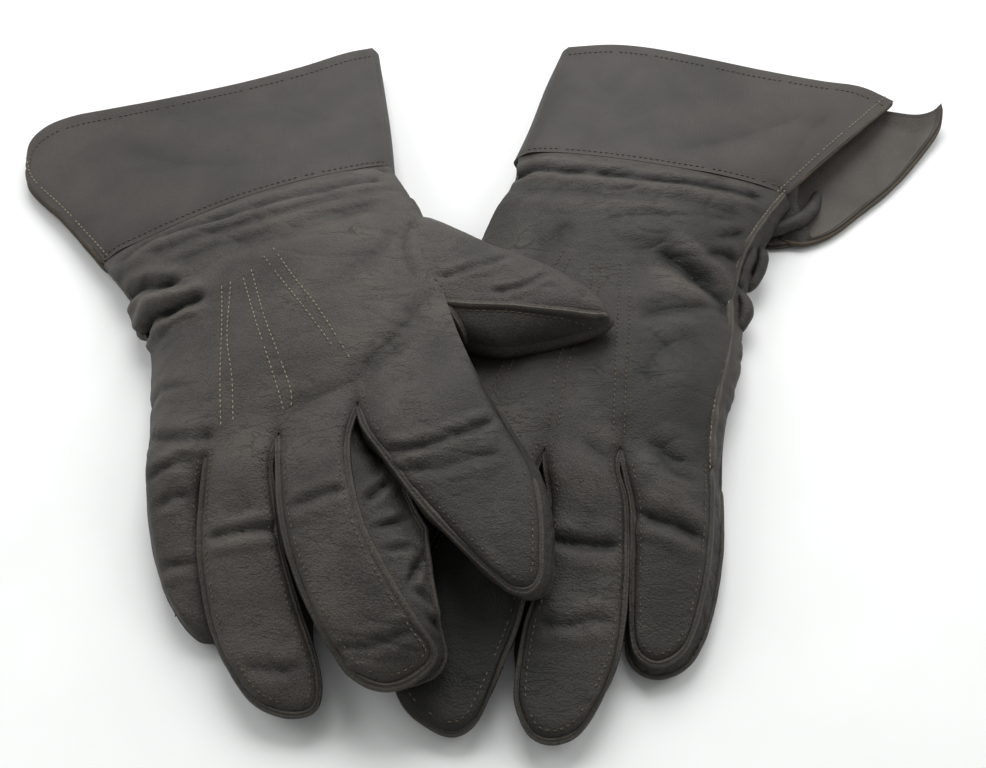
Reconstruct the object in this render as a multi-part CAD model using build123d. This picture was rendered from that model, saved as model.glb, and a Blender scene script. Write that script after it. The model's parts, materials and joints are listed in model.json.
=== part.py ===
"""A pair of lined leather gauntlet riding gloves, lying palm down, the right one partly on the left one.

Each glove is cut and sewn from flat pieces: a back and a palm, strips (fourchettes) between the
fingers, a thumb of two halves, quirks at the finger crotches, a fleece lining, a wrist elastic and a
flared gauntlet of two faced panels with an open, bound vent on the little finger's side.

Units are millimetres and degrees. The parts of each moving body are drawn in that body's own frame:
its hinge is the Y axis, +X runs away from the hinge, +Z is the back of the hand and the thumb's side
is +Y. The left hand and the right gauntlet mirror that drawing.
"""
from build123d import *
import math
import os

# Thicknesses of what the gloves are made of, and the room left between them
LEATHER = 1.5
FLEECE = 1.5
FACING = 1.2
THREAD = 0.5
STALL_FIT = 0.3
HAND_FIT = 1.2
FACING_FIT = 0.15
SEAM_GAP = 0.6

# Outside thickness of each body, and the round of its long edges
HAND_THICK = 18.0
STALL_THICK = 15.0
THUMB_THICK = 12.0
GAUNTLET_THICK = 14.0
EDGE_ROUND = 3.2
LEAST_ROUND = 0.8

# Room left on each side of a hinge so that its two bodies can turn
STALL_CLEAR = 6.0
THUMB_CLEAR = 4.2
WRIST_CLEAR = 6.0
LINING_CLEAR = 17.0
HINGE_FIT = 0.1

# Finger stalls: root centre across the hand, length from the hinge, width at the root and at the tip
STALLS = {
    "index": (37.6, 77.0, 28.8, 25.0),
    "middle": (9.3, 88.0, 26.2, 24.4),
    "ring": (-16.8, 86.0, 24.6, 23.4),
    "little": (-41.6, 61.0, 23.8, 21.0),
}
KNUCKLE_SIDES = (-53.5, 52.0)
THUMB_LENGTH = 50.0
THUMB_WIDTH = 27.0
THUMB_TIP = 16.0
THUMB_HOLE = 32.0

# Three decorative lines of two stitch rows each: start and end in the hand's frame
POINT_LINES = (((49.0, 19.0), (92.0, 34.0)), ((50.0, 12.0), (103.0, 15.0)), ((48.0, 3.0), (104.0, -7.0)))
ROW_SPACING = 3.0
ROW_WIDTH = 0.8

QUIRK_LENGTH = 4.0
QUIRK_WIDTH = 2.2
ELASTIC_LENGTH = 12.0
ELASTIC_WIDTH = 66.0
ELASTIC_THICK = 0.8
ELASTIC_START = 16.0
BINDING_WIDTH = 2.6
BINDING_INSET = 0.3
FACING_INSET = 3.4
GUSSET_LENGTH = 22.0
GUSSET_THICK = 1.4
CORNER_ROUND = 20.0
FLAP_ROUND = 8.0

# How each glove lies on the table. Headings turn from +X towards +Y and the roll lifts the thumb's
# side. Each stall has its root's distance along the hand, its yaw towards the thumb and its pitch.
GLOVES = {
    "right": {
        "mirror": False,
        "wrist": (-88.6, 70.9, 20.7),
        "heading": -75.0,
        "roll": 13.0,
        "wrist_sides": (-57.0, 54.0),
        "wrist_slant": 7.0,
        "stalls": {"index": (111.0, 12.0, 3.4), "middle": (112.0, 5.5, -4.3),
                   "ring": (111.0, -0.5, 4.4), "little": (107.0, -1.0, 0.5)},
        "thumb": {"hinge": (-9.1, 17.7, 31.5), "heading": -18.7, "pitch": 7.5},
        "gauntlet": {"heading": 112.0, "roll": 6.0, "pitch": 3.2, "base": (-57.0, 53.0),
                     "mouth": ((75.5, 71.0), (90.0, -82.0)), "flap": (1.0, 1.0)},
    },
    "left": {
        "mirror": True,
        "wrist": (51.8, 87.2, 9.0),
        "heading": -104.0,
        "roll": 0.0,
        "wrist_sides": (-49.0, 43.0),
        "wrist_slant": 0.0,
        "stalls": {"index": (124.0, -2.0, 0.6), "middle": (129.0, -4.0, 0.6),
                   "ring": (129.0, -7.0, 0.6), "little": (126.0, -10.0, 0.6)},
        "thumb": {"hinge": (-23.4, 31.7, 7.8), "heading": -140.0, "pitch": 2.0},
        "gauntlet": {"heading": 76.0, "roll": 0.0, "pitch": 1.2, "base": (-49.0, 42.0),
                     "mouth": ((77.0, 39.5), (72.0, -97.0)), "flap": (16.0, 22.0)},
    },
}
FAR = 60.0


def slab(plan, thick, edge_round):
    """The plan extruded evenly about Z = 0, with its long edges rounded."""
    solid = Pos(0, 0, -thick / 2) * extrude(plan, thick)
    rims = solid.edges().filter_by(lambda e: abs(abs(e.center().Z) - thick / 2) < 1e-6)
    return fillet(rims.filter_by(lambda e: abs(e.tangent_at(0.5).Y) < 0.9 or e.geom_type != GeomType.LINE),
                  edge_round)


def strip_plan(near, far, length, inset):
    """A long tapering strip: its Y limits at X = 0 and at X = length, run on past both ends."""
    def limit(x, side):
        return near[side] + (far[side] - near[side]) * x / length

    corners = [(x, limit(x, side) + (inset if side == 0 else -inset))
               for x, side in ((-FAR, 0), (length + FAR, 0), (length + FAR, 1), (-FAR, 1))]
    return make_face(Polyline(*corners, close=True))


def stall_plan(length, root_width, tip_width, inset):
    """A stall's plan: straight sides that draw in to a round tip, run on behind the hinge."""
    radius = tip_width / 2 - inset
    root = root_width / 2 - inset
    straight = length - tip_width / 2
    back = root + (root - radius) * FAR / straight
    with BuildSketch() as plan:
        with BuildLine():
            Polyline((straight, radius), (-FAR, back), (-FAR, -back), (straight, -radius))
            ThreePointArc((straight, -radius), (straight + radius, 0), (straight, radius))
        make_face()
    return plan.sketch


def tube(plan_at, thick, inset, wall):
    """A flat tube of the given wall; plan_at gives the plan for any inset from the outside."""
    edge = max(EDGE_ROUND - inset, LEAST_ROUND)
    outer = slab(plan_at(inset), thick - 2 * inset, edge)
    inner = slab(plan_at(inset + wall), thick - 2 * (inset + wall), max(edge - wall, LEAST_ROUND))
    return outer - inner


def beyond(x):
    """The half space past x, away from the hinge."""
    return Pos(x + 150, 0, 0) * Box(300, 300, 100)


def layer(low, high):
    return Pos(0, 0, (low + high) / 2) * Box(600, 300, high - low)


def side_of(sign):
    """The half space on the thumb's side (+1) or on the little finger's side (-1)."""
    return Pos(0, sign * (100 + SEAM_GAP / 2), 0) * Box(600, 200, 100)


def hinge_end(radius):
    """All that is past the hinge or within radius of it: trims a lining round about its hinge."""
    return beyond(0) + Rot(90, 0, 0) * Cylinder(radius, 200)


def stall_lining(length, root_width, tip_width, thick, wall):
    """The lining of a stall: a tube with a closed tip, and a round open end that fills the bend."""
    inset = LEATHER + STALL_FIT
    lining = tube(lambda d: stall_plan(length, root_width, tip_width, d), thick, inset, wall)
    return lining & hinge_end(thick / 2 - inset - HINGE_FIT)


def finger(name):
    """A finger stall: back and palm strips, fourchettes between them, and the lining."""
    _, length, root_width, tip_width = STALLS[name]
    skin = tube(lambda d: stall_plan(length, root_width, tip_width, d), STALL_THICK, 0, LEATHER)
    skin = skin & beyond(STALL_CLEAR)
    rim = STALL_THICK / 2 - EDGE_ROUND
    sides = skin & layer(-rim, rim)
    palm = skin & layer(-STALL_THICK, -rim)
    if name in ("index", "little"):
        outer = 1 if name == "index" else -1
        palm = palm + (sides & side_of(outer))
        fourchettes = sides & side_of(-outer)
    else:
        fourchettes = Compound([(sides & side_of(1)).solid(), (sides & side_of(-1)).solid()])
    return {
        "back": skin & layer(rim, STALL_THICK),
        "palm": palm,
        "fourchettes": fourchettes,
        "lining": stall_lining(length, root_width, tip_width, STALL_THICK, FLEECE),
    }


def thumb():
    """Two half shells that meet along the middle of the thumb, and their lining."""
    skin = tube(lambda d: stall_plan(THUMB_LENGTH, THUMB_WIDTH, THUMB_TIP, d), THUMB_THICK, 0, LEATHER)
    skin = skin & beyond(THUMB_CLEAR)
    return {
        "upper": skin & side_of(1),
        "lower": skin & side_of(-1),
        "lining": stall_lining(THUMB_LENGTH, THUMB_WIDTH, THUMB_TIP, THUMB_THICK, FACING),
    }


def turned(x, y, degrees):
    a = math.radians(degrees)
    return x * math.cos(a) - y * math.sin(a), x * math.sin(a) + y * math.cos(a)


def root_line(glove, clear):
    """The hand's edge at the finger roots, square to each stall, from the thumb's side outwards."""
    corners = []
    for name, (across, _, root_width, _) in STALLS.items():
        along, yaw, _ = glove["stalls"][name]
        for side in (1, -1):
            x, y = turned(-clear, side * root_width / 2, yaw)
            corners.append((along + x, across + y))
    return corners


def hand_ends(glove, wrist_clear, root_clear):
    """A prism that trims the hand's tube along the wrist's hinge and along the finger roots."""
    slant = math.tan(math.radians(glove["wrist_slant"]))
    roots = root_line(glove, root_clear)
    first, last = roots[0], roots[-1]
    points = [(wrist_clear - FAR * slant, FAR), (first[0], FAR), *roots, (last[0], -FAR - 10),
              (wrist_clear + (FAR + 10) * slant, -FAR - 10)]
    return Pos(0, 0, -50) * extrude(make_face(Polyline(*points, close=True)), 100)


def hand_tube(glove, inset, wall):
    along = glove["stalls"]["middle"][0]
    return tube(lambda d: strip_plan(glove["wrist_sides"], KNUCKLE_SIDES, along, d), HAND_THICK, inset, wall)


def thumb_hole(glove):
    """The opening in the hand's side that the thumb is set in."""
    hinge = glove["thumb"]["hinge"]
    wrist = glove["wrist"]
    x, _ = turned(hinge[0] - wrist[0], hinge[1] - wrist[1], -glove["heading"])
    return Pos(x, 75, 0) * Box(THUMB_HOLE, 70, HAND_THICK - 2 * EDGE_ROUND)


def quirks(glove):
    """The small gussets at the three finger crotches, as posts between back and palm."""
    corners = root_line(glove, STALL_CLEAR)
    posts = []
    for k in (1, 3, 5):
        x = min(corners[k][0], corners[k + 1][0]) - QUIRK_LENGTH / 2 - 0.3
        y = (corners[k][1] + corners[k + 1][1]) / 2
        posts.append(Pos(x, y, 0) * Box(QUIRK_LENGTH, QUIRK_WIDTH, HAND_THICK - 2 * LEATHER - 0.2))
    return Compound(posts)


def wrist_elastic():
    """A flat band between the palm's leather and its lining, close to the wrist."""
    z = -HAND_THICK / 2 + LEATHER + 0.2 + ELASTIC_THICK / 2
    return Pos(ELASTIC_START + ELASTIC_LENGTH / 2, 0, z) * Box(ELASTIC_LENGTH, ELASTIC_WIDTH, ELASTIC_THICK)


def points_thread():
    """Six raised rows of thread, two on each of the three decorative lines."""
    rows = []
    for (x0, y0), (x1, y1) in POINT_LINES:
        length = math.hypot(x1 - x0, y1 - y0)
        heading = math.degrees(math.atan2(y1 - y0, x1 - x0))
        for side in (1, -1):
            place = Pos(length / 2, side * ROW_SPACING / 2, HAND_THICK / 2 + THREAD / 2)
            rows.append((Pos(x0, y0, 0) * Rot(0, 0, heading) * place * Box(length, ROW_WIDTH, THREAD)).solid())
    return Compound(rows)


def hand(glove):
    """The hand's back and palm leather, its lining and its small parts."""
    hole = thumb_hole(glove)
    skin = (hand_tube(glove, 0, LEATHER) & hand_ends(glove, WRIST_CLEAR, STALL_CLEAR)) - hole
    lining = hand_tube(glove, LEATHER + HAND_FIT, FLEECE) & hand_ends(glove, WRIST_CLEAR + 1, LINING_CLEAR)
    rim = HAND_THICK / 2 - EDGE_ROUND
    sides = skin & layer(-rim, rim)
    return {
        "hand_back": (skin & layer(rim, HAND_THICK)) + (sides & side_of(1)),
        "hand_palm": (skin & layer(-HAND_THICK, -rim)) + (sides & side_of(-1)),
        "hand_lining": lining - hole,
        "quirks": quirks(glove),
        "wrist_elastic": wrist_elastic(),
        "points_thread": points_thread(),
    }


def outer_corner(shape, flap):
    x, y = shape["mouth"][1]
    return x + flap[0], y - flap[1]


def panel_plan(shape, flap, inset, start):
    """A gauntlet panel's plan; the palm's panel runs out past the vent by its flap."""
    low, high = shape["base"]
    plan = make_face(Polyline((0, high), shape["mouth"][0], outer_corner(shape, flap), (0, low), close=True))
    corner = plan.vertices().sort_by(Axis.Y)[0]
    plan = fillet(corner, FLAP_ROUND if flap[1] > 5 else CORNER_ROUND)
    if inset:
        plan = offset(plan, -inset, kind=Kind.INTERSECTION)
    trim = Pos(start + 100, 0) * Rectangle(200, 400)
    return plan & trim


def along_edge(start, end):
    """A frame on a straight edge: +X runs along it, with its length."""
    dx, dy = end[0] - start[0], end[1] - start[1]
    return Pos(start[0], start[1], 0) * Rot(0, 0, math.degrees(math.atan2(dy, dx))), math.hypot(dx, dy)


def thumb_side_fold(shape):
    """The back panel's leather turned down along the thumb's side to meet the palm's panel."""
    frame, length = along_edge((0, shape["base"][1]), shape["mouth"][0])
    clear = WRIST_CLEAR + 1
    height = GAUNTLET_THICK - LEATHER - SEAM_GAP / 2
    place = Pos(clear + (length - clear - 2) / 2, -LEATHER / 2 - 0.3, GAUNTLET_THICK / 2 - height / 2)
    return frame * place * Box(length - clear - 2, LEATHER, height - SEAM_GAP)


def vent_binding(shape, half):
    """A bound edge on each lip of the vent, lying on its panel."""
    strips = []
    for flap, z in (((0, 0), half + THREAD / 2), (shape["flap"], -half + LEATHER + THREAD / 2)):
        frame, length = along_edge((0, shape["base"][0]), outer_corner(shape, flap))
        bound = length - WRIST_CLEAR - 1.6 * CORNER_ROUND
        place = Pos(WRIST_CLEAR + 4 + bound / 2, BINDING_INSET + BINDING_WIDTH / 2, z)
        strips.append((frame * place * Box(bound, BINDING_WIDTH, THREAD)).solid())
    return Compound(strips)


def vent_gusset(shape):
    """A short strip of leather on edge at the foot of the vent, between the two facings."""
    height = GAUNTLET_THICK - 2 * (LEATHER + FACING + FACING_FIT) - 0.4
    frame, _ = along_edge((0, shape["base"][0]), shape["mouth"][1])
    return frame * Pos(WRIST_CLEAR + 6 + GUSSET_LENGTH / 2, 8, 0) * Box(GUSSET_LENGTH, GUSSET_THICK, height)


def gauntlet(glove):
    """Two panels with facings inside, joined at the thumb's side, with a bound vent opposite."""
    shape = glove["gauntlet"]
    half = GAUNTLET_THICK / 2
    facing_z = half - LEATHER - FACING_FIT
    back = extrude(panel_plan(shape, (0, 0), 0, WRIST_CLEAR), LEATHER)
    palm = extrude(panel_plan(shape, shape["flap"], 0, WRIST_CLEAR), LEATHER)
    upper = extrude(panel_plan(shape, (0, 0), FACING_INSET, WRIST_CLEAR + 2), FACING)
    lower = extrude(panel_plan(shape, shape["flap"], FACING_INSET, WRIST_CLEAR + 2), FACING)
    return {
        "gauntlet_back": Pos(0, 0, half - LEATHER) * back + thumb_side_fold(shape),
        "gauntlet_palm": Pos(0, 0, -half) * palm,
        "gauntlet_facings": Compound([(Pos(0, 0, facing_z - FACING) * upper).solid(),
                                      (Pos(0, 0, -facing_z) * lower).solid()]),
        "vent_binding": vent_binding(shape, half),
        "vent_gusset": vent_gusset(shape),
    }


def body_frames(side):
    """Each body's frame on the table, before the pair is centred, and whether its drawing is mirrored."""
    glove = GLOVES[side]
    sign = -1 if glove["mirror"] else 1
    hand_frame = Pos(*glove["wrist"]) * Rot(0, 0, glove["heading"]) * Rot(sign * glove["roll"], 0, 0)
    frames = {"hand": (hand_frame, glove["mirror"])}
    for name, (across, *_) in STALLS.items():
        along, yaw, pitch = glove["stalls"][name]
        stall = hand_frame * Pos(along, sign * across, 0) * Rot(0, 0, sign * yaw) * Rot(0, pitch, 0)
        frames[name] = (stall, glove["mirror"])
    lie = glove["thumb"]
    set_in = Pos(*lie["hinge"]) * Rot(0, 0, lie["heading"]) * Rot(0, lie["pitch"], 0)
    frames["thumb"] = (set_in, glove["mirror"])
    lie = glove["gauntlet"]
    cuff = Pos(*glove["wrist"]) * Rot(0, 0, lie["heading"]) * Rot(-sign * lie["roll"], 0, 0)
    frames["gauntlet"] = (cuff * Rot(0, lie["pitch"], 0), not glove["mirror"])
    return frames


def glove_bodies(side):
    """{body: {node: shape}} of one glove on the table."""
    glove = GLOVES[side]
    drawn = {"hand": hand(glove), "gauntlet": gauntlet(glove)}
    drawn["thumb"] = {f"thumb_{piece}": shape for piece, shape in thumb().items()}
    for name in STALLS:
        drawn[name] = {f"{name}_{piece}": shape for piece, shape in finger(name).items()}
    placed = {}
    for body, (frame, mirrored) in body_frames(side).items():
        placed[body] = {}
        for node, shape in drawn[body].items():
            shape = mirror(shape, about=Plane.XZ) if mirrored else shape
            placed[body][f"{side}_{node}"] = frame * shape
    return placed


def pair():
    """Both gloves by body, moved so that the origin is under the middle of their box, and the move."""
    bodies = {f"{side}_{body}": nodes for side in GLOVES for body, nodes in glove_bodies(side).items()}
    boxes = [shape.bounding_box() for nodes in bodies.values() for shape in nodes.values()]
    centre_x = (min(b.min.X for b in boxes) + max(b.max.X for b in boxes)) / 2
    centre_y = (min(b.min.Y for b in boxes) + max(b.max.Y for b in boxes)) / 2
    shift = Pos(-centre_x, -centre_y, -min(b.min.Z for b in boxes))
    return {body: {n: shift * s for n, s in nodes.items()} for body, nodes in bodies.items()}, shift


def main():
    os.makedirs("parts", exist_ok=True)
    bodies, _ = pair()
    for nodes in bodies.values():
        for node, shape in nodes.items():
            export_step(shape, f"parts/{node}.step")


if __name__ == "__main__":
    main()
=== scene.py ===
"""The looks of a pair of gauntlet riding gloves: the right one lies partly on the left one.

Shapes are drawn in millimetres, in the layout's own place, and moved into the frame as they are made
into meshes. Each glove is a patchwork of sheets of leather: a back and a palm for the hand and for
each finger stall, the strips between them, raised seams, stitches and a gauntlet of two panels.
"""
import bpy
import json
import math
import numpy as np
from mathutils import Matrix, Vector, noise
from mathutils.bvhtree import BVHTree


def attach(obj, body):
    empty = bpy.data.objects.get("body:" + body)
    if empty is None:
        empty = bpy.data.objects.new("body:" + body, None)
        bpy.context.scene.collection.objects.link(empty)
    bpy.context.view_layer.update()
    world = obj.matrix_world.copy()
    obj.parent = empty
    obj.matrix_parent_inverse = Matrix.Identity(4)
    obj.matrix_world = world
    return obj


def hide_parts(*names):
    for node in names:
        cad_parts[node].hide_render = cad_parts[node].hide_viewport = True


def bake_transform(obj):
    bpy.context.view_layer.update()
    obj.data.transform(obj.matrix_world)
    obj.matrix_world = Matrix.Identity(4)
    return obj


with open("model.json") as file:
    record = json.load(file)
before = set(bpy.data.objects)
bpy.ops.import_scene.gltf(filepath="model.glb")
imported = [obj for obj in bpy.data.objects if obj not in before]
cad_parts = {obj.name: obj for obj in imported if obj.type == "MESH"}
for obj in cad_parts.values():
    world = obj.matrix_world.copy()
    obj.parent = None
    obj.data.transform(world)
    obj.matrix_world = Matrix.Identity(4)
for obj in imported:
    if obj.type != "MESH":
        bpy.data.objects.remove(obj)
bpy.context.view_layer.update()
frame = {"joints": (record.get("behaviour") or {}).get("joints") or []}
JOINTS = {joint["name"]: joint for joint in frame["joints"]}
MM = 0.001

# Where the layout's origin is in the frame, from the left wrist hinge, whose layout place is known
LEFT_WRIST = np.array([51.8, 87.2, 9.0])
SHIFT = np.array(JOINTS["left_gauntlet_fold"]["pos_m"]) / MM - LEFT_WRIST

# Mesh spacing on the backs and stalls, on the hand's palm and sides, and on the gauntlet
FINE = 0.8
MEDIUM = 1.4
CUFF_SPACING = 1.3

# Rows on each side of the knuckles that are smoothed into one another, and how often
JOIN_ROWS = 21
JOIN_ROUNDS = 50

# Edges between faces that turn by more than this, in degrees, are drawn sharp
SMOOTH_ANGLE = 50.0

# Thickness of the leather, of the gauntlet's back, palm and facings, of a quirk and of the elastic
LEATHER = 1.2
FACED = 2.0
LOW_PANEL = 1.6
FACING = 0.6
QUIRK = 0.8
ELASTIC = 0.9

# Gap between the leather's outer face and the lining, and the lining's least thickness
FLEECE_GAP = 2.4
FLEECE_LEAST = 0.6

# Gaps over the table: of the stalls' walls, of the palms, of the hand's sides and of the gauntlet
FLOOR_GAP = 0.8
PALM_GAP = 0.3
SIDE_GAP = 0.5
CUFF_GAP = 0.6

# Rows of mesh from the upper to the lower edge of the stalls' walls and of the hand's sides
WALL_ROWS = 13
SIDE_ROWS = 11

# A quirk's west, east, top and foot, from its middle
QUIRK_CORNERS = ((-1.6, -1, 0), (1.6, -1, 0), (0, 1, 4), (0, 1, -4))

# Height and length of the gathers on the thumb's side, where the leather lies calm
CALM_RIPPLES = (0.4, 9.0)

# The gauntlet's hem: its width, how far it stands up, and how deep its seams sink
HEM = 4.5
HEM_RISE = 0.35
SEAM_SINK = 0.16

# The photograph's view: degrees above the table, millimetres away, and the lens in millimetres
VIEW_ELEVATION = 54.0
VIEW_DISTANCE = 420.0
VIEW_LENS = 43.81339

# Half of the floor's width in metres, and the lamps as name, place, aim, size and watts
FLOOR_HALF = 3.0
LAMPS = (("top_softbox", (0.0, 0.95, 0.95), (0.0, 0.02, 0.0), 0.9, 17.0),
         ("right_softbox", (0.9, 0.4, 0.6), (0.0, 0.0, 0.0), 0.7, 5.0),
         ("left_softbox", (-0.9, 0.4, 0.6), (0.0, 0.0, 0.0), 0.7, 5.0))

# Sections of a seam's two raw edges, of a corded edge and of a rolled one, as (sideways, up)
# points; the raw points are the ones that show cut leather
LIP = ((-1.15, -1.0), (-1.3, 0.0), (-1.05, 0.65), (-0.5, 1.05), (0.0, 0.85), (0.5, 1.05), (1.05, 0.65),
       (1.3, 0.0), (1.15, -1.0))
LIP_RAW = (3, 5)
CORD = ((-0.8, -0.5), (-0.9, 0.1), (-0.6, 0.65), (0.0, 0.85), (0.6, 0.65), (0.9, 0.1), (0.8, -0.5))
CORD_RAW = (3,)
TUCK = tuple((math.cos(turn), math.sin(turn))
             for turn in np.linspace(math.pi, -math.pi, 13)[:-1])

# Stitches: their radius, their lift off the leather, and how far beside a seam they run
STITCH_RADIUS = 0.21
STITCH_LIFT = 0.12
SEAM_INSET = 2.1

# Shading marks of the seams and walls, and of the rubbed welt
SEAM_TONE = -0.12
WELT_TONE = 0.55


# ---- Curves and grids ----
def travelled(points):
    """Distance along a line of points, from its start."""
    steps = np.linalg.norm(np.diff(points, axis=0), axis=1)
    return np.concatenate([[0.0], np.cumsum(steps)])


def evenly(line, count):
    """count points spaced evenly along a line of points."""
    along = travelled(line)
    wanted = np.linspace(0.0, along[-1], count)
    return np.stack([np.interp(wanted, along, line[:, k]) for k in range(3)], axis=1)


def spline(points, count=60):
    """A smooth curve through the points, as count points evenly spaced along it."""
    points = np.array(points, float)
    if len(points) == 2:
        return evenly(points, count)
    ends = np.vstack([2 * points[0] - points[1], points, 2 * points[-1] - points[-2]])
    t = np.linspace(0.0, 1.0, 16, endpoint=False)[:, None]
    runs = []
    for a, b, c, d in zip(ends, ends[1:], ends[2:], ends[3:]):
        runs.append(0.5 * (2 * b + (c - a) * t + (2 * a - 5 * b + 4 * c - d) * t**2
                           + (3 * b - a - 3 * c + d) * t**3))
    return evenly(np.vstack(runs + [points[-1:]]), count)


def patch(left, right, near, far):
    """A sheet stretched between four curves: rows run from near to far, columns from left to right."""
    v = np.linspace(0.0, 1.0, len(left))[:, None, None]
    u = np.linspace(0.0, 1.0, len(near))[None, :, None]
    between_ends = (1 - v) * near[None] + v * far[None]
    between_sides = (1 - u) * left[:, None] + u * right[:, None]
    near_row = (1 - u) * near[0] + u * near[-1]
    far_row = (1 - u) * far[0] + u * far[-1]
    return between_ends + between_sides - (1 - v) * near_row - v * far_row


def grid_normals(grid):
    """The direction square to the sheet at each point of a grid."""
    normals = np.cross(np.gradient(grid, axis=0), np.gradient(grid, axis=1))
    lengths = np.linalg.norm(normals, axis=2, keepdims=True)
    return normals / np.maximum(lengths, 1e-9)


def facing(grid, way):
    """The grid, turned over if need be so that its normals look the given way."""
    if (grid_normals(grid) @ np.array(way, float)).mean() < 0:
        return grid[:, ::-1]
    return grid


def rightwards(line):
    """Unit steps in plan to the right of a line, one at each of its points."""
    tangent = np.gradient(line, axis=0)
    way = np.stack([tangent[:, 1], -tangent[:, 0], np.zeros(len(line))], axis=1)
    return way / np.linalg.norm(way, axis=1, keepdims=True)


def inset(line, distance):
    """A line moved to its left in plan, which is inwards on a stall's rim."""
    return line - rightwards(line) * distance


def seam_between(rim, share):
    """The stretch of a rim between two shares of its length."""
    first, last = (round(end * (len(rim) - 1)) for end in share)
    return rim[first:last + 1]


def amounts_along(amounts, count):
    """The amounts, spaced evenly along a line and eased to one for each of its points."""
    amounts = np.atleast_1d(amounts)
    return np.interp(np.linspace(0.0, 1.0, count), np.linspace(0.0, 1.0, len(amounts)), amounts)


def smooth_step(value):
    """0 below 0 and 1 above 1, with an even, S-shaped rise between them."""
    value = np.clip(value, 0.0, 1.0)
    return value * value * (3 - 2 * value)


def bell(value):
    """1 at zero, falling smoothly to nearly 0 by two."""
    return np.exp(-(value ** 2))


def raised(grid, height):
    """The sheet moved out along its normals by a height at each point."""
    return grid + grid_normals(grid) * height[..., None]


def kept_above(grid, clearance):
    """The sheet, with nothing of it nearer to the table than a clearance."""
    grid[..., 2] = np.maximum(grid[..., 2], clearance)
    return grid


def rounded(distance, radius):
    """0 at an edge and 1 from the radius on, rising like a quarter circle."""
    x = np.clip(distance / radius, 0.0, 1.0)
    return np.sqrt(1 - (1 - x) ** 2)


def edge_distances(grid):
    """Distance of each point from the left and right edges, and from the near and far ends."""
    across = np.linalg.norm(np.diff(grid, axis=1), axis=2)
    down = np.linalg.norm(np.diff(grid, axis=0), axis=2)
    left = np.hstack([np.zeros((len(grid), 1)), np.cumsum(across, axis=1)])
    near = np.vstack([np.zeros((1, grid.shape[1])), np.cumsum(down, axis=0)])
    return left, left[:, -1:] - left, near, near[-1:] - near


def edge_fade(grid, reach=5.0):
    """1 inside a sheet, falling to 0 at its edges, so that neighbouring sheets still meet."""
    return smooth_step(np.minimum.reduce(edge_distances(grid)) / reach)


def facing_out(strip):
    """A wall strip turned so that its normals look away from its own middle."""
    middle = strip.mean(axis=(0, 1))
    away = strip - middle
    away[..., 2] = 0.0
    if (grid_normals(strip) * away).sum() < 0:
        return strip[:, ::-1]
    return strip


def puffed(grid, height, radius, fade_in, tip_radius):
    """A sheet raised into a pillow: low at its sides and tip, and flat where it starts."""
    left, right, near, far = edge_distances(grid)
    share = left / np.maximum(left + right, 1e-6)
    low, high = height
    lift = (1 - share) * low * rounded(left, radius) + share * high * rounded(right, radius)
    grid = grid.copy()
    grid[..., 2] += lift * rounded(far, tip_radius) * smooth_step(near / fade_in)
    return grid


def field(points, size, seed):
    """Smooth noise from about -1 to 1 over a grid of points, with lumps of the given size in mm."""
    places = (points.reshape(-1, 3) / size + seed * np.array([1.0, 1.7, 2.3])).tolist()
    return np.array([noise.noise(place) for place in places]).reshape(points.shape[:-1])


def creased(points, size, seed):
    """Thin meandering creases: 1 along their bottoms, 0 away from them."""
    warp = field(points, size * 1.8, seed + 9.0)[..., None] * size * 0.5
    lines = 1 - np.abs(field(points + warp, size, seed)) * 3.6
    return np.clip(lines, 0.0, 1.0) ** 2


def line_distance(points, line):
    """Distance in plan from each point to a line, and how far along the line it is, from 0 to 1."""
    flat = points[..., :2].reshape(-1, 2)
    along = travelled(line)
    best = np.full(len(flat), 1e9)
    share = np.zeros(len(flat))
    for start, end, at, after in zip(line[:, :2], line[1:, :2], along, along[1:]):
        run = end - start
        t = np.clip(((flat - start) @ run) / (run @ run), 0.0, 1.0)
        away = np.linalg.norm(flat - start - t[:, None] * run, axis=1)
        nearer = away < best
        best[nearer] = away[nearer]
        share[nearer] = (at + t * (after - at))[nearer]
    shape = points.shape[:-1]
    return best.reshape(shape), (share / along[-1]).reshape(shape)


def fold_heights(points, folds):
    """Height of the folds over a sheet, and how near each point is to one.

    A fold is a wandering crease, sharp at its bottom, with soft shoulders."""
    total = np.zeros(points.shape[:-1])
    near = total.copy()
    wander = np.stack([1.0 * field(points, 13.0, seed) + 0.25 * field(points, 3.5, seed + 3)
                       for seed in (21.0, 33.0)], -1)
    uneven = 0.85 + 0.35 * field(points, 9.0, 12.0)
    wandered = points[..., :2] + wander
    for depth, width, corners in folds:
        line = spline([(x, y, 0.0) for x, y in corners], 18)
        away, share = line_distance(wandered, line)
        taper = smooth_step(np.minimum(share, 1 - share) * travelled(line)[-1] / (2.0 + 2.5 * width))
        crease = -0.85 * np.exp(-away / (0.45 * width)) - 0.6 * bell(away / (1.4 * width))
        shoulder = 0.5 * bell((away - 3.0 * width) / (1.7 * width))
        total += depth * taper * (crease * uneven + shoulder)
        near = np.maximum(near, taper * bell(away / 8.0))
    return total, near


# ---- Meshes ----
def quads_of(rows, columns, closed=False):
    """The faces of a grid of vertices; closed joins its last column to its first."""
    index = np.arange(rows * columns).reshape(rows, columns)
    if closed:
        index = np.hstack([index, index[:, :1]])
    corners = (index[:-1, :-1], index[1:, :-1], index[1:, 1:], index[:-1, 1:])
    return np.stack(corners, axis=-1).reshape(-1, 4).tolist()


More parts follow.
